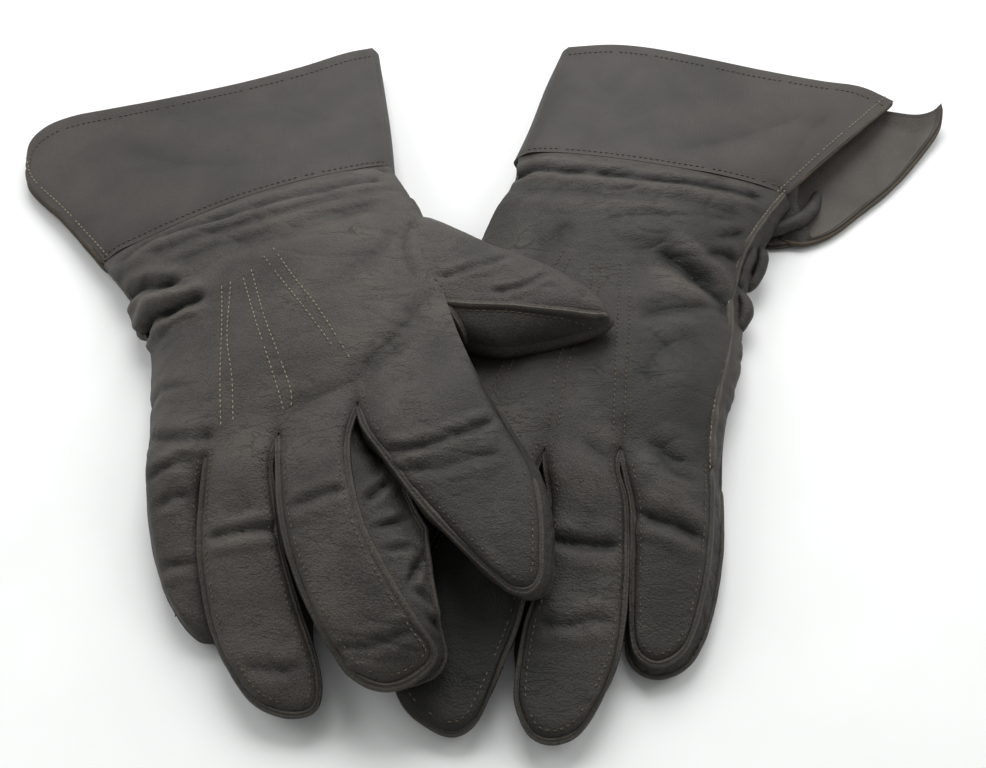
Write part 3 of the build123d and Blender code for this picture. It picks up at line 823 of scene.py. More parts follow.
LEFT = {
    "side": "left",
    "stalls": [
        stall("index",
              [(-34, -28, 12), (-40, -42, 11), (-44, -56, 10), (-47, -70, 9), (-47, -84, 8)],
              [(-47, -84, 8), (-44, -93, 8), (-37, -97, 8), (-29, -94, 8.5)],
              [(-8, -33, 17), (-12, -50, 14), (-18, -68, 12), (-25, -85, 10), (-29, -94, 8.5)],
              lean=(-2, -2, -3, 0, 0), drop=(8, 7, 5, 7, 11), root=[(-29, -30, 16), (-20, -32, 18)]),
        stall("middle",
              [(-8, -33, 17), (-12, -53, 14), (-20, -73, 12), (-26, -93, 10), (-28, -109, 8)],
              [(-28, -109, 8), (-26, -117, 6.5), (-20, -123, 5.5), (-12, -126.5, 5), (-6, -124, 6.5),
               (-2, -117, 8.5)],
              [(16.5, -38.5, 18), (13, -47, 16), (11.5, -62, 14.5), (11, -76, 13), (7, -95, 12),
               (2, -108, 10.5), (-2, -117, 8.5)],
              lean=(0, 0, -3, 0.5, 0), drop=(11, 8, 3.5, 8, 11)),
        stall("ring",
              [(16.5, -38.5, 18), (17, -46, 17), (18, -56, 15), (16, -72, 13), (13, -87, 12),
               (10, -97, 11), (7.5, -112, 10)],
              [(7.5, -112, 10), (7.5, -120, 8.5), (11, -127.5, 7.5), (17, -129.5, 7), (24, -126.5, 7),
               (30, -118, 8.5)],
              [(40.5, -38.5, 18), (39, -46, 17), (41, -56, 15.5), (41, -66, 14), (40, -81, 13),
               (38, -96, 11), (35, -108, 10), (30, -118, 8.5)],
              lean=(0, 2, 3.5, 2, -3, -2, 0, 0, 0), drop=(11, 9, 8, 6, 4.5, 6, 7, 8, 11)),
        stall("little",
              [(40.5, -38.5, 18), (42, -48, 17), (43.5, -59, 15.5), (43, -70, 14), (42, -84, 11.5),
               (41.5, -98, 9)],
              [(41.5, -98, 9), (43, -104.5, 8.5), (48, -107, 8), (54, -104.5, 8.5), (58, -99, 9.5)],
              [(69.5, -44, 14.5), (68, -58, 13.5), (66, -72, 12.5), (62.5, -87, 11), (58, -99, 9.5)],
              lean=(0, 1, 1, 1, 2.5, 4, 4.5, 5, 5), drop=(11, 9, 8, 6, 4, 5, 6.5, 9, 12), bulge=0.3,
              belly=5.0,
              root=[(50, -40, 20), (61, -42.5, 18.5)]),
    ],
    "left": [(10, 100, 13), (8, 86, 12), (2, 75, 11), (-3, 63, 9), (-9, 45, 8), (-15, 22, 8),
             (-25, -5, 9), (-34, -28, 12)],
    "right": [(111, 80, 13), (102, 67, 14.5), (94, 54, 15.5), (89.5, 45, 14.5), (85, 31, 12),
              (83, 20, 13), (81, 8, 14.5), (77.5, -5, 15.5), (74, -17, 16.5), (71, -31, 16),
              (69.5, -44, 14.5)],
    "wrist": [(10, 100, 13), (15, 99, 16.5), (29, 96, 19), (53, 90, 21), (80, 84, 20.5), (99, 81, 17.5),
              (111, 80, 13)],
    "wrist_low": [(30, 95, 3), (55, 88, 3), (80, 82, 2.5), (98, 75, 2)],
    "left_wall": ((-2, -2, -2), (9, 5, 8), 0.6),
    "right_wall": ((2, 3, 4, 5, 5, 5, 5, 5, 5), (10, 12, 12, 10, 12, 12, 12, 12, 12),
                   (3.0, 3.0, 3.0, 3.0, 0.3)),
    "ripples": (0.9, 4.0),
    "tucks": [(2.6, [(96, 57, 11), (94, 50, 11.5), (91, 43, 11), (88, 34, 9)]),
              (2.2, [(99, 58, 8), (99.5, 51, 8.5), (97, 44, 7), (92, 37, 6)]),
              (2.8, [(87, 35, 8.5), (90, 31, 8.5), (90.5, 26, 7.5), (87, 18, 6)])],
    "side_seam": (0.0, 1.0),
    "dome": 4.0,
    "thumb": stall("thumb",
                   [(2, 44, 7), (-12, 38, 7), (-27, 29, 7.5), (-42, 19, 7.5), (-54, 10, 7)],
                   [(-54, 10, 7), (-61, 4, 7), (-63.5, -2, 7), (-60, -7, 7), (-53, -9, 7)],
                   [(-14, 10, 7), (-26, 3, 7.5), (-39, -4, 7.5), (-53, -9, 7)],
                   lean=(0, 0, 0, 0, 0), drop=(4, 4, 3, 4, 4), puff=(5, 5), round_edge=11, bulge=1.2,
                   seam=(0.0, 0.0)),
    "welt": [(-14, 22, 12.5), (-30, 13, 12.8), (-46, 4, 12), (-61, -3, 8.5)],
    "branches": (),
    "gusset_folds": [],
    # Spots of painted light and shade, with some of the leather's own tone: the middle finger carries the
    # painted shadow of the right glove lying above it
    "shades": [(-5, -92, -1.7), (-38, -75, -0.6), (25, -80, -0.1), (54, -80, -0.3), (68, -10, -0.9),
               (66, 30, -0.7), (30, 10, -0.6), (40, 60, -0.25), (5, 60, -0.3)],
    "points_finish": "seam_thread",
    "points": [((25, 43), (19, 31), (8, 7), (2, -10), (-2, -18)),
               ((28, 41), (22, 28), (11, 5), (5, -10), (1, -18)),
               ((35, 37), (33, 22), (22, -6), (18, -31)), ((38, 37), (36, 22), (25, -8), (21, -31)),
               ((45, 36), (42, 7), (40, -14), (38.5, -33)), ((48, 36), (46, 7), (43.5, -14), (42, -34))],
    "folds": [
        (1.5, 1.6, [(4, 88), (14, 89), (25, 86), (41, 82), (61, 77), (84, 75), (104, 74)]),
        (0.7, 2.4, [(8, 78), (26, 74), (48, 68), (70, 66), (94, 62)]),
        (0.6, 2.4, [(39, 57), (50, 57.5), (67, 58), (80, 59.5), (93, 60)]),
        (2.5, 2.7, [(58, 44), (67, 36), (75, 29), (86, 22)]),
        (1.2, 2.6, [(48, 9), (60, 16), (72, 18), (86, 22)]),
        (0.5, 3.4, [(46, 40), (59, 45), (66, 52)]),
        (1.0, 1.8, [(94, 57), (87, 52), (78, 50)]),
        (1.1, 1.7, [(90, 42), (83, 44), (74, 42)]),
        (0.6, 3.0, [(30, 60), (14, 40), (6, 20)]),
        (0.5, 3.0, [(70, 4), (54, -4), (50, -20)]),
        (1.5, 1.7, [(15, -68), (23, -71.5), (33, -72.5), (41, -71.5)]),
        (0.6, 3.4, [(20, -64), (30, -67), (38, -67)]),
        (0.8, 1.4, [(12, -95), (21, -97), (28, -96), (37, -97)]),
        (1.2, 1.7, [(42, -60), (49, -64), (54, -65.5), (60, -68), (67, -70)]),
        (1.0, 2.4, [(52, -44), (60, -50), (68, -51)]),
        (0.8, 2.2, [(27, -36), (34, -42), (40, -46)]),
        (0.8, 2.4, [(46, -36), (56, -43), (68, -45)]),
        (0.6, 2.0, [(-10, -70), (0, -74), (10, -72)]),
    ],
    "cuff": {
        "left": [(10, 100, 13), (17, 120, 12), (24, 145, 11), (32, 170, 10)],
        "right": [(111, 80, 13), (122, 92, 12.5), (137, 108, 11.5), (153, 125, 10), (165, 138, 8)],
        "far": [(32, 170, 10), (50, 168.5, 12.5), (66, 164.5, 14), (86, 158, 14.5), (111, 151, 13.5),
                (135, 146, 12), (152, 144, 10.5), (165, 138, 8)],
        "low_left": [(12, 100, 3), (18, 120, 3), (25, 145, 3), (33, 169, 3)],
        "low_right": [(108, 67, 2), (117, 64, 2), (129, 69, 1.5), (143, 81, 1.5), (158, 95, 1.5),
                      (173, 113, 2), (182, 126, 3.5), (185, 137, 7)],
        "low_far": [(33, 169, 3), (50, 167, 3), (66, 163, 3), (86, 156, 3), (111, 149, 3), (140, 142, 3),
                    (162, 137, 3), (174, 134, 3.5), (181, 134.5, 5), (185, 137, 7)],
        "folds": [(0.6, 5.0, [(66, 96), (92, 104), (128, 124)]), (0.4, 6.0, [(40, 150), (52, 122)]),
                  (0.5, 4.0, [(110, 84), (124, 110), (140, 128)])],
        "rolls": [(3.0, [(101, 66, 4), (109, 69, 5.5), (118, 74, 5), (124, 82, 3.5), (128, 92, 2)])],
        # Spots of painted light and shade on the gauntlet's back: a painted highlight at the vent's corner,
        # with some of the leather's own tone
        "shades": [(150, 134, 1.0), (118, 100, 0.45), (75, 125, -0.2), (35, 130, -0.2)],
        "vent_side": "right",
    },
}


# ---- Working out a glove's curves ----
def lowered(line, leans, drops):
    """A seam's lower partner: moved outwards (to the line's right) and down by amounts along it."""
    low = line + rightwards(line) * amounts_along(leans, len(line))[:, None]
    low[:, 2] = np.maximum(line[:, 2] - amounts_along(drops, len(line)), FLOOR_GAP)
    return low


def wall(top, low, rows, bulge, outward):
    """The strip between a seam and its lower partner, bowed outwards by amounts along it."""
    share = np.linspace(0.0, 1.0, rows)[:, None, None]
    swell = np.sin(share[..., 0] * math.pi) * amounts_along(bulge, len(top))[None]
    way = rightwards(top) * outward
    return (1 - share) * top[None] + share * low[None] + swell[..., None] * way[None]


def root_row(piece, count):
    """The line over the knuckle from one side of a stall to the other."""
    start, end = np.array(piece["left"][0], float), np.array(piece["right"][0], float)
    middle = piece["root"]
    if middle is None:
        middle = [start + (end - start) * t + (0, 0.6, rise)
                  for t, rise in ((0.2, 1.4), (0.5, 2.2), (0.8, 1.4))]
    return spline([start, *middle, end], count)


def stall_rim(piece, rows, columns):
    """A stall's seam as one smooth line: down its left side, round the tip and up its right side."""
    corners = [*piece["left"], *piece["tip"][1:], *piece["right"][-2::-1]]
    whole = spline(corners, 400)
    tip_start, tip_end = (np.linalg.norm(whole - piece["tip"][end], axis=1).argmin() for end in (0, -1))
    left = evenly(whole[:tip_start + 1], rows)
    tip = evenly(whole[tip_start:tip_end + 1], columns)
    right = evenly(whole[tip_end:], rows)
    return np.vstack([left, tip[1:-1], right]), left, tip, right[::-1]


def low_runs(low, rows, columns):
    """A stall's lower seam as three runs: its left side, its tip and its right side."""
    return low[:rows], low[rows - 1:rows + columns - 1], low[:-rows - 1:-1]


def coarse_patch(left, right, near, far, rows, columns):
    """A sheet between four curves, with fewer rows and columns than they have points."""
    return patch(evenly(left, rows), evenly(right, rows), evenly(near, columns), evenly(far, columns))


def stall_size(piece):
    """Rows and columns of a stall's sheets."""
    length = travelled(spline(piece["left"]))[-1]
    width = np.linalg.norm(np.subtract(piece["right"][0], piece["left"][0]))
    return max(6, round(length / FINE)), max(5, round(width / FINE))


def level_join(hand, fingers, spans, reach=9.0):
    """Eases the kink where the fingers leave the hand, along the columns that cross it."""
    for _ in range(JOIN_ROUNDS):
        for finger, (start, end) in zip(fingers, spans):
            columns = slice(start, end)
            rows = min(len(finger), JOIN_ROWS + 1)
            strip = np.concatenate([hand[-JOIN_ROWS - 1:, columns], finger[1:rows]])
            away = np.abs(np.arange(len(strip)) - JOIN_ROWS)[:, None, None] * FINE
            ease = 0.5 * bell(away / reach)
            middle = 0.5 * (strip[:-2] + strip[2:]) - strip[1:-1]
            step = ease[1:-1] * middle
            step[JOIN_ROWS:, 0] = 0.0
            step[JOIN_ROWS:, -1] = 0.0
            strip[1:-1] += step
            hand[-JOIN_ROWS - 1:, columns] = strip[:JOIN_ROWS + 1]
            finger[:rows] = strip[JOIN_ROWS:]
    for finger, (start, end) in zip(fingers, spans):
        finger[0] = hand[-1, start:end]


def relief(grid, folds, strength=1.0):
    """Height added to a sheet of leather: its drawn folds, soft waves and fine wrinkles."""
    waves = 0.75 * field(grid, 32.0, 1.3) + 0.15 * field(grid, 12.0, 4.2)
    stretched = grid * (0.45, 1.0, 1.0)
    wrinkles = -0.28 * creased(stretched, 9.0, 2.0) - 0.16 * creased(stretched, 4.5, 7.0)
    drawn, near = fold_heights(grid, folds)
    return drawn + strength * (waves + wrinkles * (0.4 + 0.8 * near))


def toned(height, strength=0.55):
    """Painted shade and light from relief: dark in valleys, where shade falls, and pale on ridges, which
    are also rubbed.
    """
    return np.clip(height * strength, -1.0, 1.0)


def shading(points, spots, reach=26.0):
    """Painted light and shade over a glove, with some of the leather's own darker and paler patches, eased
    between spots of (x, y, amount).
    """
    total, weights = np.zeros(points.shape[:-1]), np.full(points.shape[:-1], 0.25)
    for x, y, amount in spots:
        away = np.hypot(points[..., 0] - x, points[..., 1] - y)
        weight = bell(away / reach)
        total += weight * amount
        weights += weight
    return total / weights


def evened(hand, rounds=90):
    """The hand's sheet with the kinks that the finger crotches leave along it smoothed out."""
    calm = smooth_step(edge_distances(hand)[3] / 14.0)[:, 1:-1, None]
    for _ in range(rounds):
        hand[:, 1:-1] += 0.5 * calm * (0.5 * (hand[:, :-2] + hand[:, 2:]) - hand[:, 1:-1])
    return hand


def back_grids(glove):
    """The back of the hand and of each finger as grids that meet at the knuckles."""
    sizes = [stall_size(piece) for piece in glove["stalls"]]
    roots = [root_row(piece, columns) for piece, (_, columns) in zip(glove["stalls"], sizes)]
    far = np.vstack([roots[0]] + [root[1:] for root in roots[1:]])
    spans, start = [], 0
    for root in roots:
        spans.append((start, start + len(root)))
        start += len(root) - 1
    rows = round(travelled(spline(glove["left"]))[-1] / FINE)
    left, right = spline(glove["left"], rows), spline(glove["right"], rows)
    hand = patch(left, right, spline(glove["wrist"], len(far)), far)
    v = np.linspace(0.0, 1.0, rows)[:, None]
    u = np.linspace(0.0, 1.0, len(far))[None, :]
    hand[..., 2] += glove["dome"] * (np.sin(v * math.pi) * np.sin(u * math.pi)) ** 0.7
    fingers = []
    for piece, (rows, columns), root in zip(glove["stalls"], sizes, roots):
        _, left, tip, right = stall_rim(piece, rows, columns)
        finger = patch(left, right, root, tip)
        fingers.append(puffed(finger, piece["puff"], piece["round"], 12.0, piece["round"]))
    level_join(evened(hand), fingers, spans)
    return hand, fingers, spans


def joined_normals(hand, fingers, spans):
    """Normals of the hand and finger grids, shared along the knuckles so that no line shows there."""
    hand_normals = grid_normals(hand)
    finger_normals = [grid_normals(finger) for finger in fingers]
    shared = np.zeros((hand.shape[1], 3))
    for normals, (start, end) in zip(finger_normals, spans):
        shared[start:end] += normals[0] + normals[1]
    shared += hand_normals[-1] + hand_normals[-2]
    shared /= np.linalg.norm(shared, axis=1, keepdims=True)
    hand_normals[-1] = shared
    for normals, (start, end) in zip(finger_normals, spans):
        normals[0] = shared[start:end]
    return hand_normals, finger_normals


# ---- Fitting a piece to its bodies ----
def in_frame(point):
    """A point of the layout in metres, in the frame's place."""
    return tuple((np.asarray(point, float) + SHIFT) * MM)


def hold(piece, side, body, reach=None):
    """Attaches a piece to its body; when a reach is given, the piece is instead left unattached, with its
    place baked into its mesh.
    """
    if reach is None:
        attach(piece, f"{side}_{body}")
    else:
        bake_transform(piece)


def bend_reach(root, tip_middle, over=24.0):
    """Where a stall's bend starts, just past its whole root line, and where it ends."""
    middle = root.mean(axis=0)
    way = tip_middle - middle
    way /= np.linalg.norm(way)
    start = middle + way * ((root - middle) @ way).max()
    return start, start + way * over


def thumb_reach(side, root, tip_middle):
    """Where a thumb's bend starts and ends: the left one at its root, the right one at its hinge."""
    if side == "left":
        return bend_reach(root, tip_middle, 16.0)
    hinge = np.array(JOINTS[f"{side}_thumb_bend"]["pos_m"]) / MM - SHIFT
    way = tip_middle - root.mean(axis=0)
    way = way / np.linalg.norm(way)
    return hinge - way * 6.0, hinge + way * 12.0


# ---- Pieces ----
def make_piece(shape, side, node, slot_name, body, reach=None, finish=None, angle=SMOOTH_ANGLE):
    """Turns a shape into the piece that stands for a CAD node."""
    material = MATERIALS[finish or slot_name]
    piece = shape.finish(f"sewn_{side}_{node}", material, slot_name, angle)
    hold(piece, side, body, reach)
    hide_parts(f"{side}_{node}")


def make_trim(shape, side, node, suffix, body, reach, finish):
    """Turns a shape into a seam or its stitches, sewn on the piece of a CAD node."""
    slot_name = "leather" if finish == "leather" else "thread"
    piece = shape.finish(f"sewn_{side}_{node}{suffix}", MATERIALS[finish], slot_name, SMOOTH_ANGLE)
    hold(piece, side, body, reach)


def make_back(side, node, body, sheet, reach=None):
    """The leather of a finished back sheet, whose normals run on over the knuckles."""
    grid, normals, marks = sheet
    shape = Shape()
    shape.sheet(grid, LEATHER, marks, normals)
    make_piece(shape, side, node, "leather", body, reach, angle=180.0)


def pocket(top, bottom, share):
    """Two grids moved in by the fleece's gap, made smaller by a share and kept from crossing."""
    top, bottom = top - (0, 0, FLEECE_GAP), bottom + (0, 0, FLEECE_GAP)
    crossed = top[..., 2] < bottom[..., 2] + FLEECE_LEAST
    middle = 0.5 * (top[..., 2] + bottom[..., 2])
    top[..., 2] = np.where(crossed, middle + FLEECE_LEAST / 2, top[..., 2])
    bottom[..., 2] = np.where(crossed, middle - FLEECE_LEAST / 2, bottom[..., 2])
    centre = 0.5 * (top.mean(axis=(0, 1)) + bottom.mean(axis=(0, 1)))
    for grid in (kept_above(top, FLEECE_GAP), kept_above(bottom, FLEECE_GAP)):
        grid[..., :2] = centre[:2] + (grid[..., :2] - centre[:2]) * share
    return top, bottom


def lining(side, node, body, top, bottom, reach=None, share=0.9):
    """A fleece bag inside a pair of sheets, a share of their size."""
    top, bottom = pocket(top, bottom, share)
    rows, columns = top.shape[:2]
    ring = np.concatenate([top, bottom[:, ::-1]], axis=1)
    ring = raised(ring, 0.25 * field(ring, 3.0, 5.5))
    around = columns * 2
    ends = [list(range(around)), [(rows - 1) * around + k for k in range(around)][::-1]]
    shape = Shape()
    shape.add(ring, quads_of(rows, around, closed=True) + ends)
    make_piece(shape, side, node, "lining", body, reach)


# ---- Fingers ----
def fourchettes(glove, piece, rim, low, reach):
    """The strips between the fingers, puckered and creased away from their seams."""
    name = piece["finger"]
    strip = facing_out(wall(rim, low, WALL_ROWS, piece["bulge"], 1.0))
    puckers = 0.7 * field(strip, 9.0, 6.0)
    creases = 0.45 * creased(strip, 9.0, 3.0) + 0.2 * creased(strip, 4.5, 8.0)
    height = puckers - creases + fold_heights(strip, glove["gusset_folds"])[0]
    height *= np.sin(np.linspace(0.05, 0.95, WALL_ROWS) * math.pi)[:, None]
    shape = Shape()
    # Painted shade in the strip's creases and painted light on its puckers, with the walls' shading mark
    shape.sheet(kept_above(raised(strip, height), FLOOR_GAP), LEATHER, toned(height) + SEAM_TONE)
    make_piece(shape, glove["side"], f"{name}_fourchettes", "gusset_leather", name, reach)


def finger_palm(side, piece, edges, reach):
    """The palm side of a finger stall, hanging a little below its seams."""
    name = piece["finger"]
    palm = puffed(patch(*edges), (-piece["belly"],) * 2, 6.0, 8.0, 6.0)
    palm = facing(palm, (0, 0, -1))
    palm = kept_above(raised(palm, relief(palm, [], 0.6) * edge_fade(palm)), PALM_GAP)
    shape = Shape()
    shape.sheet(palm, LEATHER)
    make_piece(shape, side, f"{name}_palm", "palm_leather", name, reach)


def finger_seams(side, piece, rim, low, surface, reach):
    """A stall's upper and lower seams, and the stitches beside the upper one."""
    name = piece["finger"]
    seam = seam_between(rim, piece["seam"])
    ridge = Shape()
    ridge.sweep(seam, LIP, 0.55, LIP_RAW, rawness=0.2, size=piece["seam_size"])
    ridge.sweep(low, CORD, 0.9, CORD_RAW, rawness=0.15, size=0.85)
    make_trim(ridge, side, f"{name}_back", "_seams", name, reach, "leather")
    sewing = Shape()
    sewing.stitches(inset(seam, SEAM_INSET), surface, pitch=2.0, long=1.1, gaps=0.8)
    make_trim(sewing, side, f"{name}_back", "_stitches", name, reach, "seam_thread")


def finger_parts(glove, piece, sheet, surface):
    """One finger stall around its finished back. Returns its palm's line at the knuckle."""
    side, name = glove["side"], piece["finger"]
    rows, columns = stall_size(piece)
    rim, left, tip, right = stall_rim(piece, rows, columns)
    low = lowered(rim, piece["lean"], piece["drop"])
    reach = bend_reach(sheet[0][0], tip.mean(axis=0))
    make_back(side, f"{name}_back", name, sheet, reach)
    fourchettes(glove, piece, rim, low, reach)

    low_left, low_tip, low_right = low_runs(low, rows, columns)
    sag = (low_left[0] + low_right[0]) / 2 + (0, 0, -1.5)
    low_root = spline([low_left[0], sag, low_right[0]], columns)
    finger_palm(side, piece, (low_left, low_right, low_root, low_tip), reach)
    top = patch(evenly(left, 12), evenly(right, 12), root_row(piece, 7), evenly(tip, 7))
    under = top - (0.0, 0.0, min(piece["drop"]) + 1.5)
    lining(side, f"{name}_lining", name, top, under, reach, 0.8)
    finger_seams(side, piece, rim, low, surface, reach)
    return low_root


# ---- Hand ----
def rippled(strip, ripples):
    """Gathers across a wall: uneven upright puckers, tallest at the wrist."""
    height, length = ripples
    along = edge_distances(strip)[0]
    coarse = field(strip * (1.0, 1.0, 0.3), length, 4.4)
    fine = field(strip * (1.0, 1.0, 0.4), length * 0.45, 9.4)
    return height * (0.5 + 0.5 * np.exp(-along / 50.0)) * (coarse + 0.4 * fine)


def add_side_wall(shape, folds, top, low, bulge, outward, ripples):
    """One side of the hand; outward is 1 on the left of the layout and -1 on the right."""
    strip = wall(top, low, SIDE_ROWS, bulge, outward)
    ripple = rippled(strip, ripples)
    if facing(strip, (-outward, 0, 0)) is not strip:
        strip, ripple = strip[:, ::-1], ripple[:, ::-1]
    height = relief(strip, folds) - 0.5 * creased(strip, 6.0, 5.0) + ripple
    height *= np.sin(np.linspace(0.0, 1.0, SIDE_ROWS) * math.pi)[:, None]
    # Painted shade in the wall's creases and painted light on its puckers
    shape.sheet(kept_above(raised(strip, height), SIDE_GAP), LEATHER, toned(height))


def side_edges(glove):
    """The left and right edges of the hand's back, and those of its palm."""
    rows = round(travelled(spline(glove["left"]))[-1] / MEDIUM)
    left, right = spline(glove["left"], rows), spline(glove["right"], rows)
    left_lean, left_drop, _ = glove["left_wall"]
    right_lean, right_drop, _ = glove["right_wall"]
    low_right = lowered(right, [-lean for lean in right_lean], right_drop)
    return left, right, lowered(left, left_lean, left_drop), low_right


def side_seam(glove, count):
    """The raised seam on the hand's right side, with its stitches."""
    side = glove["side"]
    line = seam_between(spline(glove["right"], count)[::-1], glove["side_seam"])
    ridge, sewing = Shape(), Shape()
    ridge.sweep(line, LIP, 0.3, LIP_RAW, 0.3, rawness=0.65, size=1.25)
    make_trim(ridge, side, "hand_back", "_side_seam", "hand", None, "leather")
    sewing.stitches(inset(line, 0.5) + (0, 0, 1.0), None, pitch=2.0, long=1.3, gaps=0.5)
    make_trim(sewing, side, "hand_back", "_side_stitches", "hand", None, "thread")


def stitch_points(glove, surface):
    """The three double rows of decorative stitches on the hand's back."""
    shape = Shape()
    for row in glove["points"]:
        line = spline([(x, y, 0.0) for x, y in row], 80)
        shape.stitches(line, surface, pitch=1.9, long=1.3, gaps=0.45)
    make_piece(shape, glove["side"], "points_thread", "thread", "hand", finish=glove["points_finish"])


def hand_parts(glove, sheet, surface, low_roots):
    """The hand around its finished back. Returns its palm's line at the wrist."""
    side, hand = glove["side"], sheet[0]
    make_back(side, "hand_back", "hand", sheet)
    left, right, low_left, low_right = side_edges(glove)
    far = np.vstack([low_roots[0]] + [root[1:] for root in low_roots[1:]])
    near = spline([low_left[0], *glove["wrist_low"], low_right[0]], len(far))
    palm = facing(patch(low_left, low_right, near, far), (0, 0, -1))
    height = relief(palm, [], 0.8) * edge_fade(palm)
    shape = Shape()
    # Painted shade in the palm's creases and painted light on its rises
    shape.sheet(kept_above(raised(palm, height), PALM_GAP), LEATHER, toned(height))
    left_bulge, right_bulge = glove["left_wall"][2], glove["right_wall"][2]
    add_side_wall(shape, glove["folds"], left, low_left, left_bulge, 1.0, CALM_RIPPLES)
    add_side_wall(shape, glove["folds"], right, low_right, right_bulge, -1.0, glove["ripples"])
    for size, points in glove["tucks"]:
        shape.sweep(spline(points, 24), TUCK, 0.0, wobble=0.3, size=size, taper=9.0)
    make_piece(shape, side, "hand_palm", "palm_leather", "hand")

    top = hand[::4, ::4]
    bottom = coarse_patch(low_left, low_right, near, far, *top.shape[:2])
    lining(side, "hand_lining", "hand", top, bottom)
    side_seam(glove, len(left) * 2)
    stitch_points(glove, surface)
    return near


def quirk_pieces(glove):
    """Little diamonds of leather let into the finger crotches."""
    shape = Shape()
    for piece in glove["stalls"][1:]:
        crotch = np.array(piece["left"][0], float) - (0, 0, 6)
        west, east, top, foot = (crotch + corner for corner in QUIRK_CORNERS)
        left, right = spline([top, west, foot], 9), spline([top, east, foot], 9)
        diamond = patch(left, right, np.tile(top, (5, 1)), np.tile(foot, (5, 1)))
        diamond[..., 1] -= np.sin(np.linspace(0, 1, 9) * math.pi)[:, None] * 0.8
        shape.sheet(facing(diamond, (0, -1, 0)), QUIRK)
    make_piece(shape, glove["side"], "quirks", "gusset_leather", "hand")


def wrist_band(glove):
    """The elastic sewn across the inside of the palm at the wrist."""
    line = spline(glove["wrist_low"], 60)[8:-8]
    rows = enumerate(np.linspace(-14, -4, 11))
    band = np.stack([line + (0.0, step, 2.6 + 0.25 * (k % 2)) for k, step in rows])
    shape = Shape()
    shape.sheet(facing(band, (0, 0, 1)), ELASTIC)
    make_piece(shape, glove["side"], "wrist_elastic", "elastic", "hand")


# ---- Thumb ----
def thumb_upper(glove, grid, reach):
    """The thumb's upper half, as a sheet crowned and creased between its seams."""
    piece = glove["thumb"]
    upper = puffed(grid, piece["puff"], piece["round"], 1.0, piece["round"])
    upper = facing(upper, (0, 0, 1))
    height = relief(upper, glove["folds"], 0.9) * edge_fade(upper, 2.0)
    upper = raised(upper, height)
    shape = Shape()
    # Painted shade in the thumb's creases and painted light on its ridges
    shape.sheet(upper, LEATHER, toned(height))
    make_piece(shape, glove["side"], "thumb_upper", "leather", "thumb", reach)
    return upper


def thumb_welts(glove, surface, reach):
    """The flat, rubbed welt along the thumb, its short branches and its stitches."""
    side = glove["side"]
    ridge, sewing = Shape(), Shape()
    for line in (glove["welt"], *glove["branches"]):
        laid = laid_on(surface, spline(line, 70))
        ridge.sweep(laid, LIP, 0.0, LIP_RAW, size=1.12, tone=WELT_TONE)
        sewing.stitches(inset(laid, -SEAM_INSET), surface, pitch=2.2, long=1.3, gaps=0.7)
    make_trim(ridge, side, "thumb_upper", "_welt", "thumb", reach, "leather")
    make_trim(sewing, side, "thumb_upper", "_stitches", "thumb", reach, "seam_thread")


def thumb_parts(glove):
    """The thumb: an upper and a lower half, its lining and its welted seam."""
    side, piece = glove["side"], glove["thumb"]
    rows, columns = stall_size(piece)
    rim, left, tip, right = stall_rim(piece, rows, columns)
    root = spline([left[0], (left[0] + right[0]) / 2 + (0, 0, 3), right[0]], columns)
    reach = thumb_reach(side, root, tip.mean(axis=0))
    upper = thumb_upper(glove, patch(left, right, root, tip), reach)

    low = lowered(rim, piece["lean"], piece["drop"])
    low_left, low_tip, low_right = low_runs(low, rows, columns)
    low_root = evenly(np.array([low_left[0], low_right[0]]), columns)
    under = puffed(patch(low_left, low_right, low_root, low_tip), (-2, -2), 8.0, 1.0, 8.0)
    shape = Shape()
    shape.sheet(facing_out(wall(rim, low, 7, piece["bulge"], 1.0)), LEATHER)
    shape.sheet(kept_above(facing(under, (0, 0, -1)), SIDE_GAP), LEATHER)
    make_piece(shape, side, "thumb_lower", "palm_leather", "thumb", reach)
    top = coarse_patch(left, right, root, tip, 12, 8)
    bottom = coarse_patch(low_left, low_right, low_root, low_tip, 12, 8)
    lining(side, "thumb_lining", "thumb", top, bottom, reach)
    thumb_welts(glove, surface_of([upper]), reach)


# ---- Gauntlet ----
def cuff_edges(glove, wrist_low):
    """Left, right, near and far edges of the gauntlet's back, and the same of its palm."""
    cuff = glove["cuff"]
    rows, columns = (round(travelled(spline(cuff[edge]))[-1] / CUFF_SPACING) for edge in ("right", "far"))
    top = (spline(cuff["left"], rows), spline(cuff["right"], rows),
           spline(glove["wrist"], columns), spline(cuff["far"], columns))
    low = (spline(cuff["low_left"], rows), spline(cuff["low_right"], rows),
           evenly(wrist_low, columns), spline(cuff["low_far"], columns))
    low[0][0], low[1][0] = low[2][0], low[2][-1]
    return top, low


